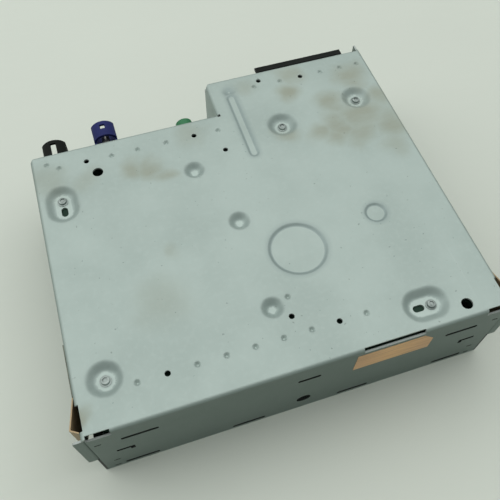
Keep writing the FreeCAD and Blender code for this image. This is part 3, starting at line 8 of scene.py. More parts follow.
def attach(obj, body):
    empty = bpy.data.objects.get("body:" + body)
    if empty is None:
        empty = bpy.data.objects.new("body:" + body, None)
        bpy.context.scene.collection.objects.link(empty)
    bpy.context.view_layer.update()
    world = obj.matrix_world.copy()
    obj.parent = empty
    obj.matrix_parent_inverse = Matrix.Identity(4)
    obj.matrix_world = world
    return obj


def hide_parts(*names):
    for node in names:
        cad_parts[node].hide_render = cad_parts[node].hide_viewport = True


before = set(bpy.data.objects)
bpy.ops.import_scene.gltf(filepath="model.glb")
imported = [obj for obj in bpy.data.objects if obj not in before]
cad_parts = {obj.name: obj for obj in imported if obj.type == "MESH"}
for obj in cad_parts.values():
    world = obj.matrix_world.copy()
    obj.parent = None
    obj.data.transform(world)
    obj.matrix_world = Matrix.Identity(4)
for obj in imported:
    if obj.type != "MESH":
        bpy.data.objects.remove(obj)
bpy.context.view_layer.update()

# The studio is a pale matt table in a dim room, under one broad soft lamp and two small ones at
# the sides. The camera looks down on the plate from the front, slightly turned to the right.
mm = 0.001
camera_place = Vector((-49.119, -152.391, 274.033)) * mm
camera_down, camera_bearing, camera_roll = 59.05, 18.877, 0.90
eye = bpy.data.cameras.new("camera")
eye.sensor_width = 36.0
eye.lens = 43.781
eye.clip_start = 0.01
camera = bpy.data.objects.new("camera", eye)
turn = (Matrix.Rotation(math.radians(-camera_bearing), 4, "Z")
        @ Matrix.Rotation(math.radians(90.0 - camera_down), 4, "X")
        @ Matrix.Rotation(math.radians(camera_roll), 4, "Z"))
camera.matrix_world = Matrix.Translation(camera_place) @ turn
bpy.context.collection.objects.link(camera)
bpy.context.scene.camera = camera
bpy.context.scene.view_settings.view_transform = "Standard"


class Wire:
    """One output in a finish's node tree. Sums, differences and products of wires add Math nodes."""

    def __init__(self, finish, socket):
        self.finish = finish
        self.socket = socket

    def math(self, operation, *others, clamp=False):
        return self.finish.node("ShaderNodeMath", {"operation": operation, "use_clamp": clamp},
                                dict(enumerate((self, *others))))

    def __add__(self, other):
        return self.math("ADD", other)

    def __sub__(self, other):
        return self.math("SUBTRACT", other)

    def __rsub__(self, other):
        return self.finish.node("ShaderNodeMath", {"operation": "SUBTRACT"}, {0: other, 1: self})

    def __mul__(self, other):
        return self.math("MULTIPLY", other)

    __radd__ = __add__
    __rmul__ = __mul__

    def clamped(self):
        return self.math("ADD", 0.0, clamp=True)


class Finish:
    """A material built as expressions on its own node tree."""

    def __init__(self, name):
        self.material = bpy.data.materials.new(name)
        self.material.use_nodes = True
        self.tree = self.material.node_tree
        self.shader = self.tree.nodes["Principled BSDF"]

    def node(self, kind, settings=None, sockets=None, output=0):
        """Adds a node: first its settings, then the values or wires of its sockets."""
        made = self.tree.nodes.new(kind)
        for name, value in (settings or {}).items():
            setattr(made, name, value)
        for name, value in (sockets or {}).items():
            self.feed(made.inputs[name], value)
        return Wire(self, made.outputs[output])

    def feed(self, socket, value):
        """Links a wire to a socket, or sets a plain value on it."""
        if isinstance(value, Wire):
            self.tree.links.new(value.socket, socket)
        else:
            socket.default_value = value

    def surface(self, **sockets):
        """Sets the shader's sockets by name, with underscores for spaces."""
        for name, value in sockets.items():
            self.feed(self.shader.inputs[name.replace("_", " ")], value)

    def place(self):
        """The point on the piece, in the object's own coordinates."""
        return self.node("ShaderNodeTexCoord", output="Object")

    def stretched(self, x, y, z):
        """The same point with each axis scaled, for streaks and grain."""
        return self.node("ShaderNodeMapping", sockets={"Vector": self.place(), "Scale": (x, y, z)})

    def noise(self, scale, detail=3.0, rough=0.55, at=None):
        return self.node("ShaderNodeTexNoise", sockets={
            "Vector": at or self.place(), "Scale": scale, "Detail": detail, "Roughness": rough})

    def step(self, value, low, high):
        """A smooth rise from 0 at low to 1 at high."""
        return self.node("ShaderNodeMapRange", {"interpolation_type": "SMOOTHSTEP"},
                         {"Value": value, "From Min": low, "From Max": high})

    def mix(self, amount, first, second):
        """A colour between two, all the first at 0 and all the second at 1."""
        made = self.tree.nodes.new("ShaderNodeMix")
        made.data_type = "RGBA"
        self.feed(made.inputs[0], amount)
        self.feed(made.inputs[6], first if isinstance(first, Wire) else (*first, 1.0))
        self.feed(made.inputs[7], second if isinstance(second, Wire) else (*second, 1.0))
        return Wire(self, made.outputs[2])

    def bump(self, height, distance, strength):
        sockets = {"Height": height, "Distance": distance, "Strength": strength}
        return self.node("ShaderNodeBump", sockets=sockets)


def srgb(red, green, blue):
    """A colour read on a 0 to 255 scale, as linear light."""
    shares = [c / 255 for c in (red, green, blue)]
    return tuple(((c + 0.055) / 1.055) ** 2.4 if c > 0.04 else c / 12.92 for c in shares)


table_size, table_shade = 3.0, 0.94
table_colour = srgb(206, 212, 203)
table_dim = tuple(c * table_shade for c in table_colour)
table_finish = Finish("pale_table")
table_tone = table_finish.noise(6.0, 2.0)
table_folds = table_finish.noise(9.0, 4.0, 0.6, table_finish.stretched(1.0, 2.4, 1.0))
table_finish.surface(Base_Color=table_finish.mix(table_tone, table_colour, table_dim), Roughness=0.85,
                     Specular_IOR_Level=0.2, Normal=table_finish.bump(table_folds, 0.0016, 0.35))
table_mesh = bpy.data.meshes.new("table")
table_mesh.from_pydata([(-table_size, -table_size, 0), (table_size, -table_size, 0),
                        (table_size, table_size, 0), (-table_size, table_size, 0)], [], [(0, 1, 2, 3)])
table = bpy.data.objects.new("table", table_mesh)
table.data.materials.append(table_finish.material)
bpy.context.collection.objects.link(table)

room = bpy.data.worlds.new("room")
room.use_nodes = True
room_light = room.node_tree.nodes["Background"].inputs
room_light["Color"].default_value = (0.93, 1.0, 0.96, 1.0)
room_light["Strength"].default_value = 0.27
bpy.context.scene.world = room

# Each lamp: its place and width in metres, and its power in watts.
lamps = {"broad_lamp": ((0.0, 0.35, 1.3), 2.0, 17.5), "left_lamp": ((-1.1, 0.35, 0.8), 0.9, 4.2),
         "right_lamp": ((1.1, 0.1, 1.0), 0.9, 2.7)}
lamp_target = Vector((0, 0, 0.03))
for name, (spot, width, power) in lamps.items():
    lamp = bpy.data.lights.new(name, "AREA")
    lamp.shape = "SQUARE"
    lamp.size = width
    lamp.energy = power
    lamp.color = (1.0, 1.0, 0.985)
    holder = bpy.data.objects.new(name, lamp)
    aim = (lamp_target - Vector(spot)).to_track_quat("-Z", "Y")
    holder.matrix_world = Matrix.Translation(spot) @ aim.to_matrix().to_4x4()
    bpy.context.collection.objects.link(holder)


# The case tray is one sheet of dull zinc-plated steel, blanked, pierced, pressed and folded.
# The board is screwed to its deep dimples; the shallow discs, pips and bead stiffen the plate.
# The walls are folded down over a 1.6 mm bend and stand free of each other at the corners.
# Sizes are in millimetres, bend is the outer radius and wall_foot the height of the walls' lower edge.
gauge, bend, top, wall_foot = 0.9, 1.6, 50.0, 0.9
left, right, front = -89.0, 89.0, -82.94
rear_left, rear_right, step_x = front + 137.0, front + 159.5, 3.0


def plan(x, y):
    """A place on the plate measured from its front left corner."""
    return left + x, front + y


def ring(centre, radius, run=(0.0, 0.0), count=28):
    """A closed loop at one distance from a point, or from a line that runs on from it."""
    long = run != (0.0, 0.0)
    angle = math.atan2(run[1], run[0]) if long else 0.0
    loop = []
    for half, (x, y) in enumerate(((centre[0] + run[0], centre[1] + run[1]), centre)):
        for index in range(count // 2 + long):
            bearing = angle - math.pi / 2 + math.pi * (half + index / (count // 2))
            loop.append((x + radius * math.cos(bearing), y + radius * math.sin(bearing)))
    return loop


def slot_loop(x_low, x_high, y_low, y_high, corner=0.5, count=3):
    """A rectangular loop with rounded corners."""
    loop = []
    for x, y, start in ((x_high - corner, y_low + corner, -90), (x_high - corner, y_high - corner, 0),
                        (x_low + corner, y_high - corner, 90), (x_low + corner, y_low + corner, 180)):
        for index in range(count + 1):
            angle = math.radians(start + 90 * index / count)
            loop.append((x + corner * math.cos(angle), y + corner * math.sin(angle)))
    return loop


def holds(loop, x, y):
    """Whether a closed loop goes round a point."""
    within = False
    for (x1, y1), (x2, y2) in zip(loop, loop[1:] + loop[:1]):
        if (y1 > y) != (y2 > y) and x < (x2 - x1) * (y - y1) / (y2 - y1) + x1:
            within = not within
    return within


def blank(outline, lines, holes):
    """Triangles of a flat blank with lines drawn on it and holes through it."""
    points, edges = [], []
    for loop in [outline] + lines + holes:
        first = len(points)
        points += [Vector(point) for point in loop]
        edges += [(first + i, first + (i + 1) % len(loop)) for i in range(len(loop))]
    found, _, faces, _, _, _ = delaunay_2d_cdt(points, edges, [], 1, 1e-4)
    boxes = []
    for hole in holes:
        across, along = [p[0] for p in hole], [p[1] for p in hole]
        boxes.append((min(across), max(across), min(along), max(along), hole))
    kept = []
    for face in faces:
        x = sum(found[i].x for i in face) / 3
        y = sum(found[i].y for i in face) / 3
        open_here = any(a < x < b and c < y < d and holds(loop, x, y) for a, b, c, d, loop in boxes)
        if not open_here and holds(outline, x, y):
            kept.append(face)
    return found, kept


# Each pressing: its centre, the run of its line, floor radius, rim radius and depth.
# First come the five dimples with screws, then three plain ones, two discs, the bead and its end.
no_run, screw_run, dimple_depth = (0.0, 0.0), 5.6, 3.0
screw_places = [plan(12.8, 20.4), plan(121.0, 121.5), plan(162.8, 127.3), plan(10.7, 109.4),
                plan(147.0, 11.3)]
pressings = [
    (screw_places[0], no_run, 3.7, 7.9, dimple_depth),
    (screw_places[1], no_run, 3.7, 8.0, dimple_depth),
    (screw_places[2], no_run, 3.7, 8.0, dimple_depth),
    (screw_places[3], (0.0, -screw_run), 3.7, 7.9, dimple_depth),
    (screw_places[4], (-screw_run, 0.0), 3.7, 7.9, dimple_depth),
    (plan(72.3, 107.3), no_run, 1.5, 5.3, dimple_depth),
    (plan(83.7, 73.7), no_run, 1.5, 5.3, dimple_depth),
    (plan(83.7, 29.0), no_run, 1.5, 5.3, dimple_depth),
    (plan(103.4, 52.3), no_run, 11.6, 13.4, 0.9),
    (plan(143.1, 59.2), no_run, 4.0, 5.4, 0.7),
    (plan(102.2, 145.6), (0.0, -37.0), 1.4, 2.8, 0.5),
    (plan(102.3, 150.3), no_run, 0.6, 3.8, 0.8),
]

# Small pips and pilot holes stand in a row at the front and in two rows at the rear.
front_row = [plan(24.4 + 11.85 * i, 15.0) for i in range(9)]
pilots = [front_row[1], front_row[7], plan(25.3, 127.3), plan(77.6, 127.3), plan(89.6, 114.3),
          plan(89.7, 22.9), plan(119.0, 153.0), plan(140.7, 149.6)]
bumps = [place for place in front_row if place not in pilots]
bumps += [plan(x, 127.3) for x in (12.5, 37.3, 49.8, 63.7, 89.7)] + [plan(7.2, 130.7), plan(91.2, 31.7)]
bumps += [plan(x, 149.8) for x in (115.7, 129.7, 152.0, 163.0, 172.5)]
bump_radius, bump_depth, bump_slope = 1.5, 1.1, 0.8


def away(x, y, centre, run):
    """The distance of a point from a pressing's line."""
    length = run[0] ** 2 + run[1] ** 2
    along = 0.0
    if length:
        along = max(0.0, min(1.0, ((x - centre[0]) * run[0] + (y - centre[1]) * run[1]) / length))
    return math.hypot(x - centre[0] - along * run[0], y - centre[1] - along * run[1])


def eased(share):
    """A smooth rise from 0 to 1."""
    share = max(0.0, min(1.0, share))
    return share * share * (3 - 2 * share)


def pressed(x, y):
    """How far the sheet is pressed down at a point."""
    for centre, run, floor, rim, depth in pressings:
        far = away(x, y, centre, run)
        if far < rim:
            return depth * eased((rim - far) / (rim - floor))
    for centre in bumps:
        far = math.hypot(x - centre[0], y - centre[1])
        if far < bump_radius:
            return bump_depth * eased((bump_radius - far) / (bump_slope * bump_radius))
    return 0.0


# Painted shade, with some grime, darkens the pressings' slopes: softly past the rim, and most at the foot,
# which ends sharply.
soft_edge, sharp_edge, dimple_slope_shade, disc_slope_shade = 1.9, 0.25, 0.5, 1.3


def slope(x, y):
    """How much painted shade a pressing puts on the zinc at a point, and -1 where a dimple's floor is made
    lighter.
    """
    most = 0.0
    for centre, run, floor, rim, depth in pressings:
        dimple = depth == dimple_depth
        far = away(x, y, centre, run)
        if dimple and far <= floor:
            return -1.0
        outer = rim + soft_edge
        if floor - 0.5 * sharp_edge < far < outer:
            shade_here = dimple_slope_shade if dimple else disc_slope_shade
            most = max(most, shade_here * eased((outer - far) / (outer - floor)))
    return most


# The blank of the plate is drawn with a few lines round each pressing, so that it bends smoothly.
pressing_steps = 7
pilot_radius, plate_hole_radius, screw_hole_radius = 1.25, 2.5, 1.7
plate_lines, plate_holes = [], []
for centre, run, floor, rim, depth in pressings:
    count = max(24, int(rim * 5) // 2 * 2)
    for index in range(pressing_steps + 1):
        plate_lines.append(ring(centre, floor + (rim - floor) * index / pressing_steps, run, count))
    for radius in (rim + 0.2, rim + 0.45, rim + soft_edge, floor - sharp_edge):
        plate_lines.append(ring(centre, radius, run, count))
for centre in bumps:
    for share in (0.25, 0.5, 0.75, 1.0, 1.12, 1.25):
        plate_lines.append(ring(centre, bump_radius * share, count=14))
plate_holes += [ring(centre, pilot_radius, count=18) for centre in pilots]
plate_holes += [ring(centre, plate_hole_radius, count=26) for centre in (plan(29.2, 119.4), plan(160.1, 6.2))]
plate_holes += [ring(centre, screw_hole_radius, count=18) for centre in screw_places]

# A long hole for two locating pegs goes through the far end of each long dimple.
peg_radius, peg_apart = 1.5, 2.1
for centre, run, floor, rim, depth in pressings[3:5]:
    unit = (run[0] / screw_run, run[1] / screw_run)
    near = screw_run - 0.5 * peg_apart
    first_peg = (centre[0] + unit[0] * near, centre[1] + unit[1] * near)
    plate_holes.append(ring(first_peg, peg_radius, (unit[0] * peg_apart, unit[1] * peg_apart), 18))

pitch = 2.0


def steps(start, end):
    """Steps of about one pitch from start up to, but not on, the end."""
    count = max(1, round(abs(end - start) / pitch))
    return [start + (end - start) * i / count for i in range(count)]


def closed(corners):
    """A loop through corners, divided at an even pitch."""
    loop = []
    for (x1, y1), (x2, y2) in zip(corners, corners[1:] + corners[:1]):
        length = math.hypot(x2 - x1, y2 - y1)
        for distance in steps(0.0, length):
            loop.append((x1 + (x2 - x1) * distance / length, y1 + (y2 - y1) * distance / length))
    return loop


def plate_corners(inset):
    """The plate's six corners, moved in by the same distance on each side."""
    return [(left + inset, front + inset), (right - inset, front + inset),
            (right - inset, rear_right - inset), (step_x + inset, rear_right - inset),
            (step_x + inset, rear_left - inset), (left + inset, rear_left - inset)]


class Press:
    """Gathers folded panels into one sheet and gives it its thickness."""

    def __init__(self):
        self.mesh = bmesh.new()
        self.steep = self.mesh.verts.layers.float.new("steep")
        self.turned = self.mesh.verts.layers.float.new("turned")

    def add(self, points, faces, fold, steep=None, turned=None):
        """Folds a flat panel into place, and notes at each point the pressings' painted shade and how far the
        sheet is turned down, which sets the walls' painted shade.
        """
        made = [self.mesh.verts.new(Vector(fold(point.x, point.y)) * mm) for point in points]
        for vert, point in zip(made, points):
            vert[self.steep] = steep(point.x, point.y) if steep else 0.0
            vert[self.turned] = turned(point.x, point.y) if turned else 0.0
        for face in faces:
            self.mesh.faces.new([made[i] for i in face])

    def finished(self, name, thickness, materials):
        """Joins the panels and thickens them inwards. The last material is for the cut edges."""
        bmesh.ops.remove_doubles(self.mesh, verts=self.mesh.verts, dist=0.02 * mm)
        loose = [vert for vert in self.mesh.verts if not vert.link_faces]
        bmesh.ops.delete(self.mesh, geom=loose, context="VERTS")
        sheet = bpy.data.meshes.new(name)
        self.mesh.to_mesh(sheet)
        self.mesh.free()
        piece = bpy.data.objects.new(name, sheet)
        bpy.context.collection.objects.link(piece)
        for material in materials:
            piece.data.materials.append(material)
        thicken = piece.modifiers.new("gauge", "SOLIDIFY")
        thicken.thickness = thickness * mm
        thicken.offset = -1.0
        thicken.use_rim = True
        thicken.material_offset_rim = len(materials) - 1
        return settle(piece)


def settle(piece, crease=38.0):
    """Turns a piece's modifiers into plain mesh, smooth but for its real edges."""
    graph = bpy.context.evaluated_depsgraph_get()
    result = bpy.data.meshes.new_from_object(piece.evaluated_get(graph), depsgraph=graph)
    piece.modifiers.clear()
    old, piece.data = piece.data, result
    bpy.data.meshes.remove(old)
    piece.data.name = piece.name
    piece.data.shade_smooth()
    piece.data.set_sharp_from_angle(angle=math.radians(crease))
    return piece


tray = Press()
bend_margin = 0.3
plate_lines.append(closed(plate_corners(bend + bend_margin)))
points, faces = blank(closed(plate_corners(bend)), plate_lines, plate_holes)
tray.add(points, faces, lambda x, y: (x, y, top - pressed(x, y)), slope)

# Each wall is drawn flat: along the wall, and down the sheet from the start of its bend. A hole is
# its start and end along the wall, its start and end down the sheet and its corner radius.
arc = bend * math.pi / 2
fold_steps = 6


def drop(z):
    """The distance down an unrolled wall at a height on it."""
    return arc + top - bend - z


def wall(start, end, margins, holes, extra=(), inner=(0, 0), tab=None, dimmed=1.0):
    """Adds the wall on a plan line, its ends set back by the margins. extra holds loops to cut out.

    An inner end stands at the case's inner corner, and a tab runs on past the wall's far end. The last
    argument sets how much of the walls' painted shade this wall takes.
    """
    length = math.hypot(end[0] - start[0], end[1] - start[1])
    along = ((end[0] - start[0]) / length, (end[1] - start[1]) / length)
    out = (along[1], -along[0])

    def fold(u, s):
        turned = min(max(s, 0.0) / bend, math.pi / 2)
        reach = bend * math.sin(turned) - bend
        height = top - bend * (1 - math.cos(turned)) - max(0.0, s - arc)
        return start[0] + along[0] * u + out[0] * reach, start[1] + along[1] * u + out[1] * reach, height

    u_low, u_high, foot = margins[0], length - margins[1], drop(wall_foot)
    plate_low = -bend if inner[0] else bend
    plate_high = length + bend if inner[1] else length - bend
    shared = [plate_low + step for step in steps(0.0, plate_high - plate_low)] + [plate_high]
    row = [u_low] + [u for u in shared if u_low < u < u_high] + [u_high]
    outline = [(u, 0.0) for u in row]
    outline += [(u_high, arc * i / fold_steps) for i in range(1, fold_steps + 1)]
    if tab:
        reach, tab_low, tab_high = tab
        outline += [(u_high, drop(tab_high)), (u_high + reach, drop(tab_high)),
                    (u_high + reach, drop(tab_low)), (u_high, drop(tab_low))]
    outline += [(u_high, foot), (u_low, foot)]
    outline += [(u_low, arc * i / fold_steps) for i in range(fold_steps, 0, -1)]
    fold_lines = []
    for s in [arc * i / fold_steps for i in range(1, fold_steps + 1)] + [arc + bend_margin]:
        fold_lines.append([(u, s) for u in row])
    points, faces = blank(outline, fold_lines, [slot_loop(*hole) for hole in holes] + list(extra))
    # Down the bend and the wall the zinc takes painted shade, which grows as the sheet turns down.
    tray.add(points, [tuple(reversed(face)) for face in faces], fold,
             turned=lambda u, s: dimmed * min(1.0, max(0.0, s) / arc))


def span(a, b, z_low, z_high, corner=0.5):
    """A hole between two heights on a wall."""
    return a, b, drop(z_high), drop(z_low), corner


# The front wall has two rows of slits, hook slots and short slots at each end, a round hole, and
# three windows cut into the bend: a wide one for the flat cable and two at the corners.
in_bend, sharp, slit_corner, corner_gap = 0.30, 0.3, 1.0, 0.95
front_holes = [span(a, b, 35.9, 38.1, slit_corner) for a, b in ((12.6, 27.6), (85.0, 95.0), (151.0, 166.0))]
front_holes += [span(a, b, 2.1, 4.3, slit_corner) for a, b in (
    (9.0, 24.0), (57.0, 72.0), (106.5, 121.5), (154.0, 169.0))]
front_holes += [span(a, b, 22.05, 23.95, sharp) for a, b in ((8.6, 16.0), (162.0, 169.4))]
front_holes += [span(a, b, 20.25, 22.35, sharp) for a, b in ((14.1, 16.0), (162.0, 163.9))]
front_holes += [span(x - 1.3, x + 1.3, z - 0.45, z + 0.45, sharp) for x, z in (
    (3.9, 38.0), (6.5, 10.5), (5.6, 2.6), (174.1, 38.0), (171.5, 10.5), (172.4, 2.6))]
front_holes += [(a, b, in_bend, drop(z), sharp) for a, b, z in (
    (112.2, 139.0, 47.5), (1.3, 10.7, 46.0), (167.3, 176.7, 46.0))]
round_hole = ring((89.5, drop(12.0)), 3.25, count=32)
wall((left, front), (right, front), (corner_gap, corner_gap), front_holes, [round_hole])


# The side walls end in ears at the front, bent out into the plane of the front wall.
ear_inner, ear_reach, ear_low, ear_high, ear_tip = 0.25, 3.4, 19.0, 48.0, 0.6
ear_turn = gauge + ear_inner


def ear(side):
    """A strip from the side wall's front edge round the bend and out to the ear's cropped tip."""
    x, y = side * right, front + ear_turn
    line = [(x, y)]
    for index in range(1, 6):
        angle = math.pi / 2 * index / 5
        line.append((x + side * ear_inner * (1 - math.cos(angle)), y - ear_inner * math.sin(angle)))
    line.append((x + side * (ear_reach - ear_tip), front + gauge))
    line.append((x + side * ear_reach, front + gauge))
    rows = []
    for index, (px, py) in enumerate(line):
        trim = ear_tip if index == len(line) - 1 else 0.0
        ends = [Vector((px, py, z)) * mm for z in (ear_low + trim, ear_high - trim)]
        rows.append([tray.mesh.verts.new(end) for end in ends])
    # The ears take the walls' full painted shade.
    for vert in rows[0] + rows[-1] + [vert for row in rows[1:-1] for vert in row]:
        vert[tray.turned] = 1.0
    for (low_a, high_a), (low_b, high_b) in zip(rows, rows[1:]):
        corners = [low_a, low_b, high_b, high_a]
        tray.mesh.faces.new(corners if side < 0 else corners[::-1])


def side_openings(place_along):
    """Holes of a side wall. The function turns a distance from the front into one along the wall."""
    holes = []
    for a, b, s1, s2, corner in (
            (3.2, 17.8, drop(48.3), drop(18.7), 0.6), (3.2, 13.5, 0.1, drop(18.7), sharp),
            (-1.0, ear_turn, drop(ear_high), drop(ear_low), 0.05)):
        low_end, high_end = sorted((place_along(a), place_along(b)))
        holes.append((low_end, high_end, s1, s2, corner))
    rounds = [ring((place_along(y), drop(z)), radius, count=count) for y, z, radius, count in (
        (46.0, 25.0, 2.5, 26), (100.0, 25.0, 2.5, 26), (28.8, 25.0, 1.65, 18), (28.8, 42.0, 1.65, 18),
        (34.0, 5.6, screw_hole_radius, 18), (118.0, 5.6, screw_hole_radius, 18))]
    return holes, rounds


# The sheet's rear corners are cropped where two bends meet. The rear right wall is open for the
# heat sink's pad, and the rear left wall for the main socket and the three aerial sockets.
bite = [(-1.0, -0.2), (0.7, -0.2), (1.4, 0.6), (2.0, 1.25), (2.35, 1.9), (2.5, 2.6), (2.3, 4.0), (-1.0, 5.2)]
right_width, left_width, left_length = right - step_x, step_x - left, rear_left - front
right_bite = [(right_width - u, s) for u, s in bite]
left_bite = [(left_width - u, s) for u, s in bite]
sink_screws = [ring((u, drop(33.4)), screw_hole_radius, count=18) for u in (53.7, 11.5)]
aerial_holes = [ring((u, drop(39.5)), radius, count=36)
                for u, radius in ((80.7, 6.8), (55.6, 6.8), (15.6, 4.6))]
right_holes, right_rounds = side_openings(lambda y: y)
left_holes, left_rounds = side_openings(lambda y: left_length - y)
wall((right, front), (right, rear_right), (0.0, 0.0), right_holes, right_rounds, tab=(4.8, 10.4, 48.4))
wall((right, rear_right), (step_x, rear_right), (corner_gap, corner_gap), [span(14.3, 50.9, 23.1, 43.7)],
     sink_screws + [right_bite])
# The step wall takes only a quarter of the walls' painted shade.
wall((step_x, rear_right), (step_x, rear_left), (0.0, 0.0), [], [bite], inner=(0, 1), dimmed=0.25)
wall((step_x, rear_left), (left, rear_left), (0.0, corner_gap), [span(23.1, 48.7, 8.2, 44.8)],
     aerial_holes + [left_bite], inner=(1, 0))
wall((left, rear_left), (left, front), (0.0, 0.0), left_holes, left_rounds + [bite])
ear(-1)
ear(1)

# Brown water stains, as place on the plate, size and depth: left rear, right rear and odd spots.
stains = [((46.0, 117.0), 8.0, 0.8), ((54.0, 115.0), 8.0, 0.8), ((60.0, 109.0), 6.0, 0.7),
          ((24.0, 116.0), 9.0, 0.4), ((6.0, 120.0), 14.0, 0.4),
          ((160.0, 116.0), 15.0, 0.9), ((172.0, 106.0), 13.0, 0.85), ((147.0, 113.0), 12.0, 0.9),
          ((165.0, 142.0), 11.0, 0.85), ((155.0, 104.0), 11.0, 0.8), ((143.0, 106.0), 9.0, 0.8),
          ((136.0, 111.0), 8.0, 0.8), ((175.0, 125.0), 11.0, 0.85), ((150.0, 127.0), 10.0, 0.9),
          ((130.0, 140.0), 9.0, 1.0), ((136.0, 152.0), 9.0, 0.7), ((121.0, 115.0), 8.0, 0.7),
          ((110.0, 152.0), 8.0, 0.4), ((40.0, 45.0), 16.0, 0.3), ((53.0, 67.0), 5.0, 0.4),
          ((170.0, 92.0), 9.0, 0.5), ((76.0, 128.0), 9.0, 0.4), ((3.0, 9.0), 6.0, 0.9)]


def stained(finish):
    """How deeply the water has stained a place: soft spots with wandering, patchy edges."""
    wander = 16.0 * mm
    drift = finish.node("ShaderNodeTexNoise", output="Color", sockets={
        "Vector": finish.place(), "Scale": 55.0, "Detail": 3.0})
    warped = finish.node("ShaderNodeVectorMath", {"operation": "MULTIPLY_ADD"},
                         {0: drift, 1: (wander, wander, 0.0), 2: finish.place()}, "Vector")
    deepest = None
    for (x, y), size, weight in stains:
        centre = Vector((*plan(x, y), top)) * mm + Vector((0.5 * wander, 0.5 * wander, 0.0))
        distance = finish.node("ShaderNodeVectorMath", {"operation": "DISTANCE"},
                               {0: warped, 1: centre}, "Value")
        spot = weight * (1.0 - finish.step(distance, 0.1 * size * mm, 1.15 * size * mm))
        deepest = deepest.math("MAXIMUM", spot) if deepest else spot
    patches = finish.step(finish.noise(90.0, 4.0, 0.6, finish.stretched(0.6, 1.5, 1.0)), 0.3, 0.7)
    return deepest * (0.72 + 0.4 * patches).clamped()


def zinc(name, wet=False, tone=(164, 178, 173), metal=0.34):
    """Dull zinc plating: faint crystal mottle, fine roller grain, thin scratches, specks and stains, with
    painted shade on the pressings' slopes and on the walls turned down, and lighter floors in the deep
    dimples.
    """
    finish = Finish(name)
    cloud = finish.noise(30.0, 3.0)
    mottle = finish.noise(420.0, 2.0, 0.5)
    grain = finish.noise(1800.0, 2.0, 0.6, finish.stretched(1.0, 0.12, 0.12))
    scratch = finish.step(finish.noise(300.0, 1.0, 0.4, finish.stretched(1.0, 0.02, 0.3)), 0.72, 0.80)
    steep = finish.node("ShaderNodeAttribute", {"attribute_name": "steep"}, output="Fac")
    turned = finish.node("ShaderNodeAttribute", {"attribute_name": "turned"}, output="Fac")
    plain, dimmed, pale, bright = (srgb(*(c + change for c in tone)) for change in (0, -8, 5, 22))
    colour = finish.mix(finish.step(cloud, 0.3, 0.7), plain, dimmed)
    colour = finish.mix(finish.step(mottle, 0.45, 0.75) * 0.3, colour, pale)
    rough = 0.47 + 0.08 * cloud + 0.06 * grain
    finish.surface(Metallic=metal)
    if wet:
        stain = stained(finish)
        colour = finish.mix(stain * 0.8, colour, srgb(142, 146, 129))
        finish.surface(Metallic=metal - 0.2 * stain)
        rough = rough + 0.12 * stain
    colour = finish.mix(scratch * 0.12, colour, srgb(206, 214, 210))
    # Painted shade, with some grime, on the pressings' slopes, and a lighter floor in the deep dimples.
    colour = finish.mix((steep * 0.3).clamped(), colour, srgb(96, 114, 118))
    colour = finish.mix((steep * -0.4).clamped(), colour, bright)
    specks = finish.step(finish.noise(650.0, 1.0, 0.4), 0.77, 0.80)
    colour = finish.mix(specks * 0.4, colour, srgb(84, 90, 84))
    # Painted shade on the walls turned down from the plate: the zinc is mixed towards a darker copy of its
    # tone.
    hanging_shade = srgb(*(c * share for c, share in zip(tone, (0.53, 0.57, 0.545))))
    colour = finish.mix(turned * 0.75, colour, hanging_shade)
    relief = 0.6 * grain + 0.4 * mottle - 0.3 * scratch
    finish.surface(Base_Color=colour, Roughness=rough, Normal=finish.bump(relief, 0.03 * mm, 0.4))
    return finish


def cut_steel():
    """Bare steel on sheared edges with fine shear lines, with painted light by the plate and painted shade
    below it.
    """
    finish = Finish("sheared_edge")
    lines = finish.noise(2600.0, 2.0, 0.5, finish.stretched(1.0, 1.0, 0.15))
    height = finish.node("ShaderNodeSeparateXYZ", sockets={0: finish.place()}, output="Z")
    # Painted light on the cut edges up by the plate, and painted shade on the edges lower down.
    edge_lit_share = finish.step(height, 44.0 * mm, 46.5 * mm)
    bright = finish.mix(lines, srgb(178, 186, 182), srgb(140, 148, 144))
    finish.surface(Base_Color=finish.mix(edge_lit_share, srgb(38, 44, 41), bright), Metallic=0.25,
                   Roughness=0.45 + 0.2 * lines, Normal=finish.bump(lines, 0.03 * mm, 0.4))
    return finish


tray_zinc, sheared = zinc("tray_zinc", wet=True), cut_steel()
tray_sheet = tray.finished("tray_sheet", gauge, [tray_zinc.material, sheared.material])
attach(tray_sheet, "chassis")
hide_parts("chassis_tray")


def dress(finish, *nodes):
    """Gives CAD nodes a finish."""
    for node in nodes:
        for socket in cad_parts[node].material_slots:
            socket.material = finish.material


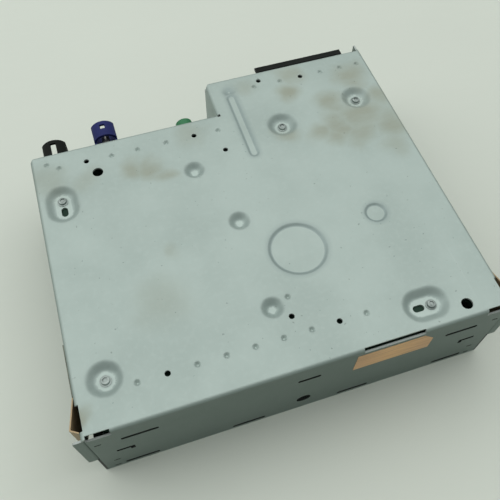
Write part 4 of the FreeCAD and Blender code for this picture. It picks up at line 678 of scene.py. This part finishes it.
class Grower:
    """A Geometry Nodes tree whose sizes are named inputs, read off as a plain mesh."""

    kinds = {float: "NodeSocketFloat", int: "NodeSocketInt", bpy.types.Object: "NodeSocketObject",
             bpy.types.Material: "NodeSocketMaterial"}

    def __init__(self, name, **sizes):
        self.tree = bpy.data.node_groups.new(name, "GeometryNodeTree")
        plug = self.tree.interface.new_socket
        for way in ("INPUT", "OUTPUT"):
            plug("Geometry", in_out=way, socket_type="NodeSocketGeometry")
        self.values = {}
        for label, value in sizes.items():
            made = plug(label, in_out="INPUT", socket_type=self.kinds[type(value)])
            self.values[made.identifier] = value
        self.entry = self.tree.nodes.new("NodeGroupInput").outputs
        self.exit = self.tree.nodes.new("NodeGroupOutput").inputs[0]

    def node(self, kind, settings=None, sockets=None, output=0):
        """Adds a node and returns one of its outputs."""
        made = self.tree.nodes.new(kind)
        for name, value in (settings or {}).items():
            setattr(made, name, value)
        for name, value in (sockets or {}).items():
            if isinstance(value, bpy.types.NodeSocket):
                self.tree.links.new(value, made.inputs[name])
            else:
                made.inputs[name].default_value = value
        return made.outputs[output]

    def vector(self, x=0.0, y=0.0, z=0.0):
        return self.node("ShaderNodeCombineXYZ", sockets={"X": x, "Y": y, "Z": z})

    def grown(self, piece, last, crease=38.0):
        """Ends the tree, runs it on a piece and keeps the result as the piece's mesh."""
        whole = self.node("GeometryNodeRealizeInstances", sockets={"Geometry": last})
        coated = self.node("GeometryNodeSetMaterial", sockets={
            "Geometry": whole, "Material": self.entry["finish"]})
        self.tree.links.new(coated, self.exit)
        grow = piece.modifiers.new("grow", "NODES")
        grow.node_group = self.tree
        for identifier, value in self.values.items():
            grow[identifier] = value
        return settle(piece, crease)


def solid(name, points, faces):
    """A mesh object from points in millimetres."""
    mesh = bpy.data.meshes.new(name)
    mesh.from_pydata([Vector(point) * mm for point in points], [], faces)
    piece = bpy.data.objects.new(name, mesh)
    bpy.context.collection.objects.link(piece)
    return piece


def recess(shape, angle, radius):
    """How far a round, hexagonal or cross-shaped ring reaches at an angle."""
    if shape == "hex":
        return radius * math.cos(math.pi / 6) / math.cos(angle % (math.pi / 3) - math.pi / 6)
    if shape == "cross":
        arm = 0.3 * radius
        across, along = abs(math.cos(angle)) + 1e-6, abs(math.sin(angle)) + 1e-6
        return max(min(radius / across, arm / along), min(arm / across, radius / along))
    return radius


def turned_solid(name, profile, sides=36):
    """A closed solid turned about Z, from rings of radius, height and shape."""
    points, faces = [], []
    for radius, height, shape in profile:
        for index in range(sides):
            angle = 2 * math.pi * index / sides
            far = recess(shape, angle, radius)
            points.append((far * math.cos(angle), far * math.sin(angle), height))
    for first in range(0, (len(profile) - 1) * sides, sides):
        for index in range(sides):
            here, beside = first + index, first + (index + 1) % sides
            faces.append((here, beside, beside + sides, here + sides))
    faces.append(tuple(reversed(range(sides))))
    faces.append(tuple(range((len(profile) - 1) * sides, len(profile) * sides)))
    return solid(name, points, faces)


full_turn = 6.2832


def fasteners(name, head, places, finish, node):
    """Sets one turned head at each place, along its axis and turned by a random amount."""
    piece = solid(name, [place for place, axis in places], [])
    axes = piece.data.attributes.new("axis", "FLOAT_VECTOR", "POINT")
    for entry, (place, axis) in zip(axes.data, places):
        entry.vector = axis
    grower = Grower(name, head=head, scale=1.0, seed=11, finish=finish.material)
    axis = grower.node("GeometryNodeInputNamedAttribute", {"data_type": "FLOAT_VECTOR"}, {"Name": "axis"})
    aimed = grower.node("FunctionNodeAlignRotationToVector", {"axis": "Z"}, {"Vector": axis})
    angle = grower.node("FunctionNodeRandomValue", {"data_type": "FLOAT"},
                        {3: full_turn, "Seed": grower.entry["seed"]}, 1)
    spin = grower.node("FunctionNodeEulerToRotation", {}, {0: grower.vector(z=angle)})
    spun = grower.node("FunctionNodeRotateRotation", {"rotation_space": "LOCAL"},
                       {"Rotation": aimed, "Rotate By": spin})
    source = grower.node("GeometryNodeObjectInfo", {}, {"Object": grower.entry["head"]}, "Geometry")
    size = grower.vector(grower.entry["scale"], grower.entry["scale"], grower.entry["scale"])
    placed = grower.node("GeometryNodeInstanceOnPoints", {}, {
        "Points": grower.entry["Geometry"], "Instance": source, "Rotation": spun, "Scale": size})
    grower.grown(piece, placed, 30.0)
    bpy.data.objects.remove(head)
    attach(piece, "chassis")
    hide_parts(node)


def plated(name, dark, light, rough=0.25, metal=0.85):
    """A plated metal part with a slight tarnish."""
    finish = Finish(name)
    cloud, fine = finish.noise(220.0, 3.0), finish.noise(2200.0, 2.0)
    finish.surface(Base_Color=finish.mix(finish.step(cloud, 0.35, 0.7), light, dark), Metallic=metal,
                   Roughness=rough + 0.18 * cloud, Normal=finish.bump(fine, 0.02 * mm, 0.35))
    return finish


def moulded(name, dark, light, rough=0.42, shine=0.5):
    """A moulded plastic: an even satin skin with a very fine spark texture."""
    finish = Finish(name)
    cloud, fine = finish.noise(90.0, 3.0), finish.noise(2400.0, 2.0)
    finish.surface(Base_Color=finish.mix(cloud, dark, light), Roughness=rough + 0.14 * fine,
                   Specular_IOR_Level=shine, Normal=finish.bump(fine, 0.03 * mm, 0.35))
    return finish


# Five flanged screws with hexagon sockets hold the board to the floors of the deep dimples.
# They are zinc-plated steel, a little duller than the plate, each stopped at its own angle.
screw_zinc = plated("screw_zinc", (0.185, 0.215, 0.205), (0.33, 0.375, 0.36), 0.36)
board_head = turned_solid("board_head", [
    (1.2, -4.6, ""), (1.5, -4.2, ""), (1.5, 0.0, ""), (2.35, 0.0, ""), (2.4, 0.12, ""), (2.35, 0.3, ""),
    (1.9, 0.42, ""), (1.86, 1.0, ""), (1.7, 1.32, ""), (1.45, 1.45, ""), (1.2, 1.45, "hex"),
    (1.12, 1.36, "hex"), (1.08, 0.95, "hex"), (0.5, 0.85, "")])
board_places = [((x, y, top - dimple_depth), (0.0, 0.0, 1.0)) for x, y in screw_places]
fasteners("board_screw_set", board_head, board_places, screw_zinc, "board_screws")

# Four cross-head screws through the side walls hold the lid's flanges, near the bottom edge.
# They are low pan heads in the same plated steel.
lid_head = turned_solid("lid_head", [
    (1.2, -2.9, ""), (1.5, -2.5, ""), (1.5, 0.02, ""), (2.45, 0.02, ""), (2.5, 0.2, ""), (2.42, 0.55, ""),
    (2.1, 0.9, ""), (1.75, 1.1, ""), (1.6, 1.15, ""), (1.45, 1.14, "cross"), (1.3, 0.9, "cross"),
    (0.9, 0.35, "cross"), (0.3, 0.25, "")])
lid_places = [((side * right, y, 5.6), (float(side), 0.0, 0.0)) for side in (-1, 1) for y in (-48.93, 35.05)]
fasteners("lid_screw_set", lid_head, lid_places, screw_zinc, "lid_screws")

# Two domed rivets hold each corner spring to its side wall, pressed over from outside.
# They are plain steel, with a flat struck ring round the dome.
rivet_head = turned_solid("rivet_head", [
    (1.55, -0.9, ""), (1.55, 0.02, ""), (2.5, 0.02, ""), (2.55, 0.12, ""), (2.3, 0.24, ""), (2.05, 0.3, ""),
    (1.9, 0.46, ""), (1.5, 0.6, ""), (0.9, 0.67, ""), (0.3, 0.69, "")])
anchor_face = right + 0.5
rivet_places = [((side * anchor_face, -54.14, z), (float(side), 0.0, 0.0))
                for side in (-1, 1) for z in (25.0, 42.0)]
fasteners("spring_rivet_set", rivet_head, rivet_places, screw_zinc, "spring_rivets")

# The lid is the same sheet, flat under the case, with flanges inside the walls and vents. It is
# duller than the tray, because it lies face down and takes the dust. The chip clamp is cut from it.
dress(zinc("lid_zinc", tone=(152, 166, 161)), "bottom_lid", "chip_clamp")

# A bare foil label, tan and a little brighter in the middle, stuck on the front wall.
# Fine streaks run along it from the coating rollers.
foil = Finish("label_foil")
foil_middle, foil_reach = 38.5 * mm, 17.0 * mm
foil_place = foil.node("ShaderNodeSeparateXYZ", sockets={0: foil.place()}, output="X")
foil_glow = 1.0 - foil.step((foil_place - foil_middle).math("ABSOLUTE"), 0.0, foil_reach)
foil_tone = foil.mix(foil_glow, srgb(226, 180, 134), srgb(240, 192, 136))
foil_grain = foil.noise(900.0, 3.0)
foil_lines = foil.step(foil.noise(900.0, 3.0, 0.5, foil.stretched(0.08, 1.0, 1.2)), 0.35, 0.7)
foil.surface(Base_Color=foil.mix(foil_lines * 0.6, foil_tone, srgb(196, 152, 112)), Metallic=0.1,
             Roughness=0.45 + 0.15 * foil_grain, Normal=foil.bump(foil_lines, 0.03 * mm, 0.4))
dress(foil, "front_label")

# The corner springs are yellowed spring steel, bent, hardened and riveted to the side walls.
# Their anchors are the grey rear ends of the same strips, which the rivets hold flat.
yellowed = Finish("spring_steel")
yellow_cloud = yellowed.noise(140.0, 3.0)
yellow_grain = yellowed.noise(1500.0, 2.0, 0.5, yellowed.stretched(1.0, 1.0, 0.1))
yellowed.surface(Base_Color=yellowed.mix(yellow_cloud, srgb(184, 162, 126), srgb(146, 126, 96)),
                 Metallic=0.15, Roughness=0.45 + 0.2 * yellow_grain,
                 Normal=yellowed.bump(yellow_grain, 0.03 * mm, 0.4))
dress(yellowed, "left_retention_spring", "right_retention_spring")
dress(plated("anchor_steel", srgb(92, 98, 88), srgb(112, 118, 106), 0.5, 0.3),
      "left_spring_anchor", "right_spring_anchor")


# Aerial sockets stand out of the rear left wall: moulded plastic collars, colour coded and cut
# differently so that no plug fits the wrong one, over metal barrels on bases on the board.
aerial_height, base_face, collar_wall, collar_sides = 39.5, 52.86, 1.2, 48


def collar(name, x, radius, half_width, reach, holes, finish):
    """A tube with flat sides, rolled from a flat blank with holes through it."""
    girth = math.pi * radius
    rows = [-girth + 2 * girth * index / collar_sides for index in range(collar_sides + 1)]

    def rolled(u, v):
        angle = u / radius
        side = max(-half_width, min(half_width, radius * math.sin(angle)))
        return x + side, v, aerial_height + radius * math.cos(angle)

    tip = rear_left + reach
    outline = [(u, base_face) for u in rows] + [(u, tip) for u in reversed(rows)]
    lines = [[(u, base_face), (u, tip)] for u in rows[1:-1]]
    points, faces = blank(outline, lines, [slot_loop(-u, u, a, b, 0.35) for u, a, b in holes])
    roll = Press()
    roll.add(points, faces, rolled)
    piece = roll.finished(name, collar_wall, [finish.material])
    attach(piece, "chassis")
    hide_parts(name.replace("shell", "collar"))


black_notch = (1.5, rear_left + 0.2, rear_left + 10.0)
blue_hole, blue_notch = (1.36, rear_left + 12.25, rear_left + 14.95), (8.1, rear_left + 0.2, rear_left + 7.8)
collar("black_aerial_shell", -77.7, 6.5, 5.7, 12.0, [black_notch],
       moulded("black_collar", (0.004, 0.005, 0.004), (0.009, 0.011, 0.009), 0.55, 0.12))
collar("blue_aerial_shell", -52.6, 6.5, 5.7, 17.2, [blue_hole, blue_notch],
       moulded("blue_collar", srgb(24, 30, 80), srgb(34, 42, 98), 0.5, 0.2))
collar("green_aerial_shell", -12.6, 4.3, 4.1, 8.4, [],
       moulded("green_collar", srgb(40, 104, 66), srgb(56, 122, 82), 0.45, 0.35))
dress(plated("nickel", (0.30, 0.30, 0.28), (0.55, 0.55, 0.53)), "aerial_barrels", "aerial_bases")

# The heat sink is a black anodised extrusion screwed to the rear right wall, fins level.
# Its pad passes through the wall to the two power chips inside.
sink_left, sink_right, sink_low, sink_high, sink_face = 32.2, 80.6, 4.8, 46.8, 76.56
fin_count, fin_pitch = 8, 5.7714
sink_black = Finish("black_anodised")
sink_lines = sink_black.noise(1600.0, 2.0, 0.5, sink_black.stretched(0.03, 1.0, 1.0))
sink_dust = sink_black.step(sink_black.noise(60.0, 4.0), 0.4, 0.8)
sink_black.surface(Base_Color=sink_black.mix(sink_dust, (0.004, 0.0055, 0.0045), (0.011, 0.013, 0.011)),
                   Roughness=0.42 + 0.2 * sink_lines, Specular_IOR_Level=0.15,
                   Normal=sink_black.bump(sink_lines, 0.04 * mm, 0.5))


def bar(name, corners, start, end):
    """An outline in the YZ plane drawn out along X."""
    count = len(corners)
    points = [(start, y, z) for y, z in corners] + [(end, y, z) for y, z in corners]
    faces = [(i, (i + 1) % count, (i + 1) % count + count, i + count) for i in range(count)]
    return solid(name, points, faces + [tuple(reversed(range(count))), tuple(range(count, 2 * count))])


# One fin is drawn from the sink's face and lower edge. The plate behind them and the pad are in place.
fin_outline = [(2.2, 0.0), (6.1, 0.0), (6.35, 0.1), (6.5, 0.45), (6.5, 1.15), (6.35, 1.5), (6.1, 1.6),
               (3.0, 1.6), (2.8, 1.35), (2.2, 1.35)]
pad_outline = [(74.36, 23.5), (74.5, 23.4), (77.0, 23.4), (77.0, 43.4), (74.5, 43.4), (74.36, 43.3)]
plate_outline = [(sink_face, sink_low), (79.0, sink_low), (79.16, 4.95), (79.16, 46.2), (78.6, sink_high),
                 (sink_face, sink_high)]
fin = bar("fin", fin_outline, sink_left, sink_right)
pad = bar("pad", pad_outline, 38.4, 74.4)
heat_sink = bar("heat_sink_extrusion", plate_outline, sink_left, sink_right)
fins = Grower("fins", fin=fin, pad=pad, count=fin_count, pitch=fin_pitch * mm, base=sink_face * mm,
              low=sink_low * mm, finish=sink_black.material)
line = fins.node("GeometryNodeMeshLine", {"mode": "OFFSET"}, {
    "Count": fins.entry["count"], "Start Location": fins.vector(0.0, fins.entry["base"], fins.entry["low"]),
    "Offset": fins.vector(z=fins.entry["pitch"])})
fin_source, pad_source = (fins.node("GeometryNodeObjectInfo", {}, {"Object": fins.entry[part]}, "Geometry")
                          for part in ("fin", "pad"))
fin_row = fins.node("GeometryNodeInstanceOnPoints", {}, {"Points": line, "Instance": fin_source})
joined = fins.tree.nodes.new("GeometryNodeJoinGeometry")
for part in (fins.entry["Geometry"], fin_row, pad_source):
    fins.tree.links.new(part, joined.inputs[0])
fins.grown(heat_sink, joined.outputs[0], 30.0)
for spare in (fin, pad):
    bpy.data.objects.remove(spare)
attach(heat_sink, "chassis")
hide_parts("heat_sink")

# The main socket is a black moulded block with brass blades, and a red blade fuse in the bay
# under it. The flat cable socket behind the front window is ivory, with a black lock slider.
dress(moulded("black_block", (0.010, 0.012, 0.010), (0.018, 0.020, 0.018), 0.5, 0.3),
      "socket_block", "cable_lock")
dress(plated("contact_plate", (0.40, 0.30, 0.12), (0.62, 0.50, 0.26)),
      "aerial_centre_pins", "socket_contacts", "fuse_clips")
dress(moulded("fuse_body", (0.30, 0.03, 0.02), (0.42, 0.05, 0.03), 0.2), "blade_fuse")
dress(moulded("header_body", (0.50, 0.46, 0.38), (0.60, 0.56, 0.48)), "cable_header")

# The board hangs under the plate on its dimples, parts downwards: a green mask, painted near black as painted
# shade for the inside of the case, tinned cans, black chips, and sleeved capacitors. It is seen only through
# the holes and vents.
dress(moulded("board_mask", (0.004, 0.020, 0.012), (0.007, 0.032, 0.018), 0.5, 0.2), "main_board")
dress(plated("tinned_sheet", (0.42, 0.43, 0.42), (0.60, 0.61, 0.60)),
      "tuner_can", "receiver_can", "processor_shield", "crystal_unit")
dress(moulded("chip_epoxy", (0.012, 0.012, 0.013), (0.022, 0.022, 0.024), 0.55),
      "processor_chip", "signal_chip", "converter_chip", "memory_chips", "power_inductor", "amplifier_chip",
      "regulator_chip")
dress(moulded("capacitor_sleeve", (0.01, 0.012, 0.03), (0.02, 0.025, 0.05), 0.25),
      "big_capacitors", "small_capacitors")
dress(plated("bright_zinc", (0.30, 0.31, 0.31), (0.50, 0.52, 0.52)),
      "board_nuts", "sink_screws", "clamp_screw")
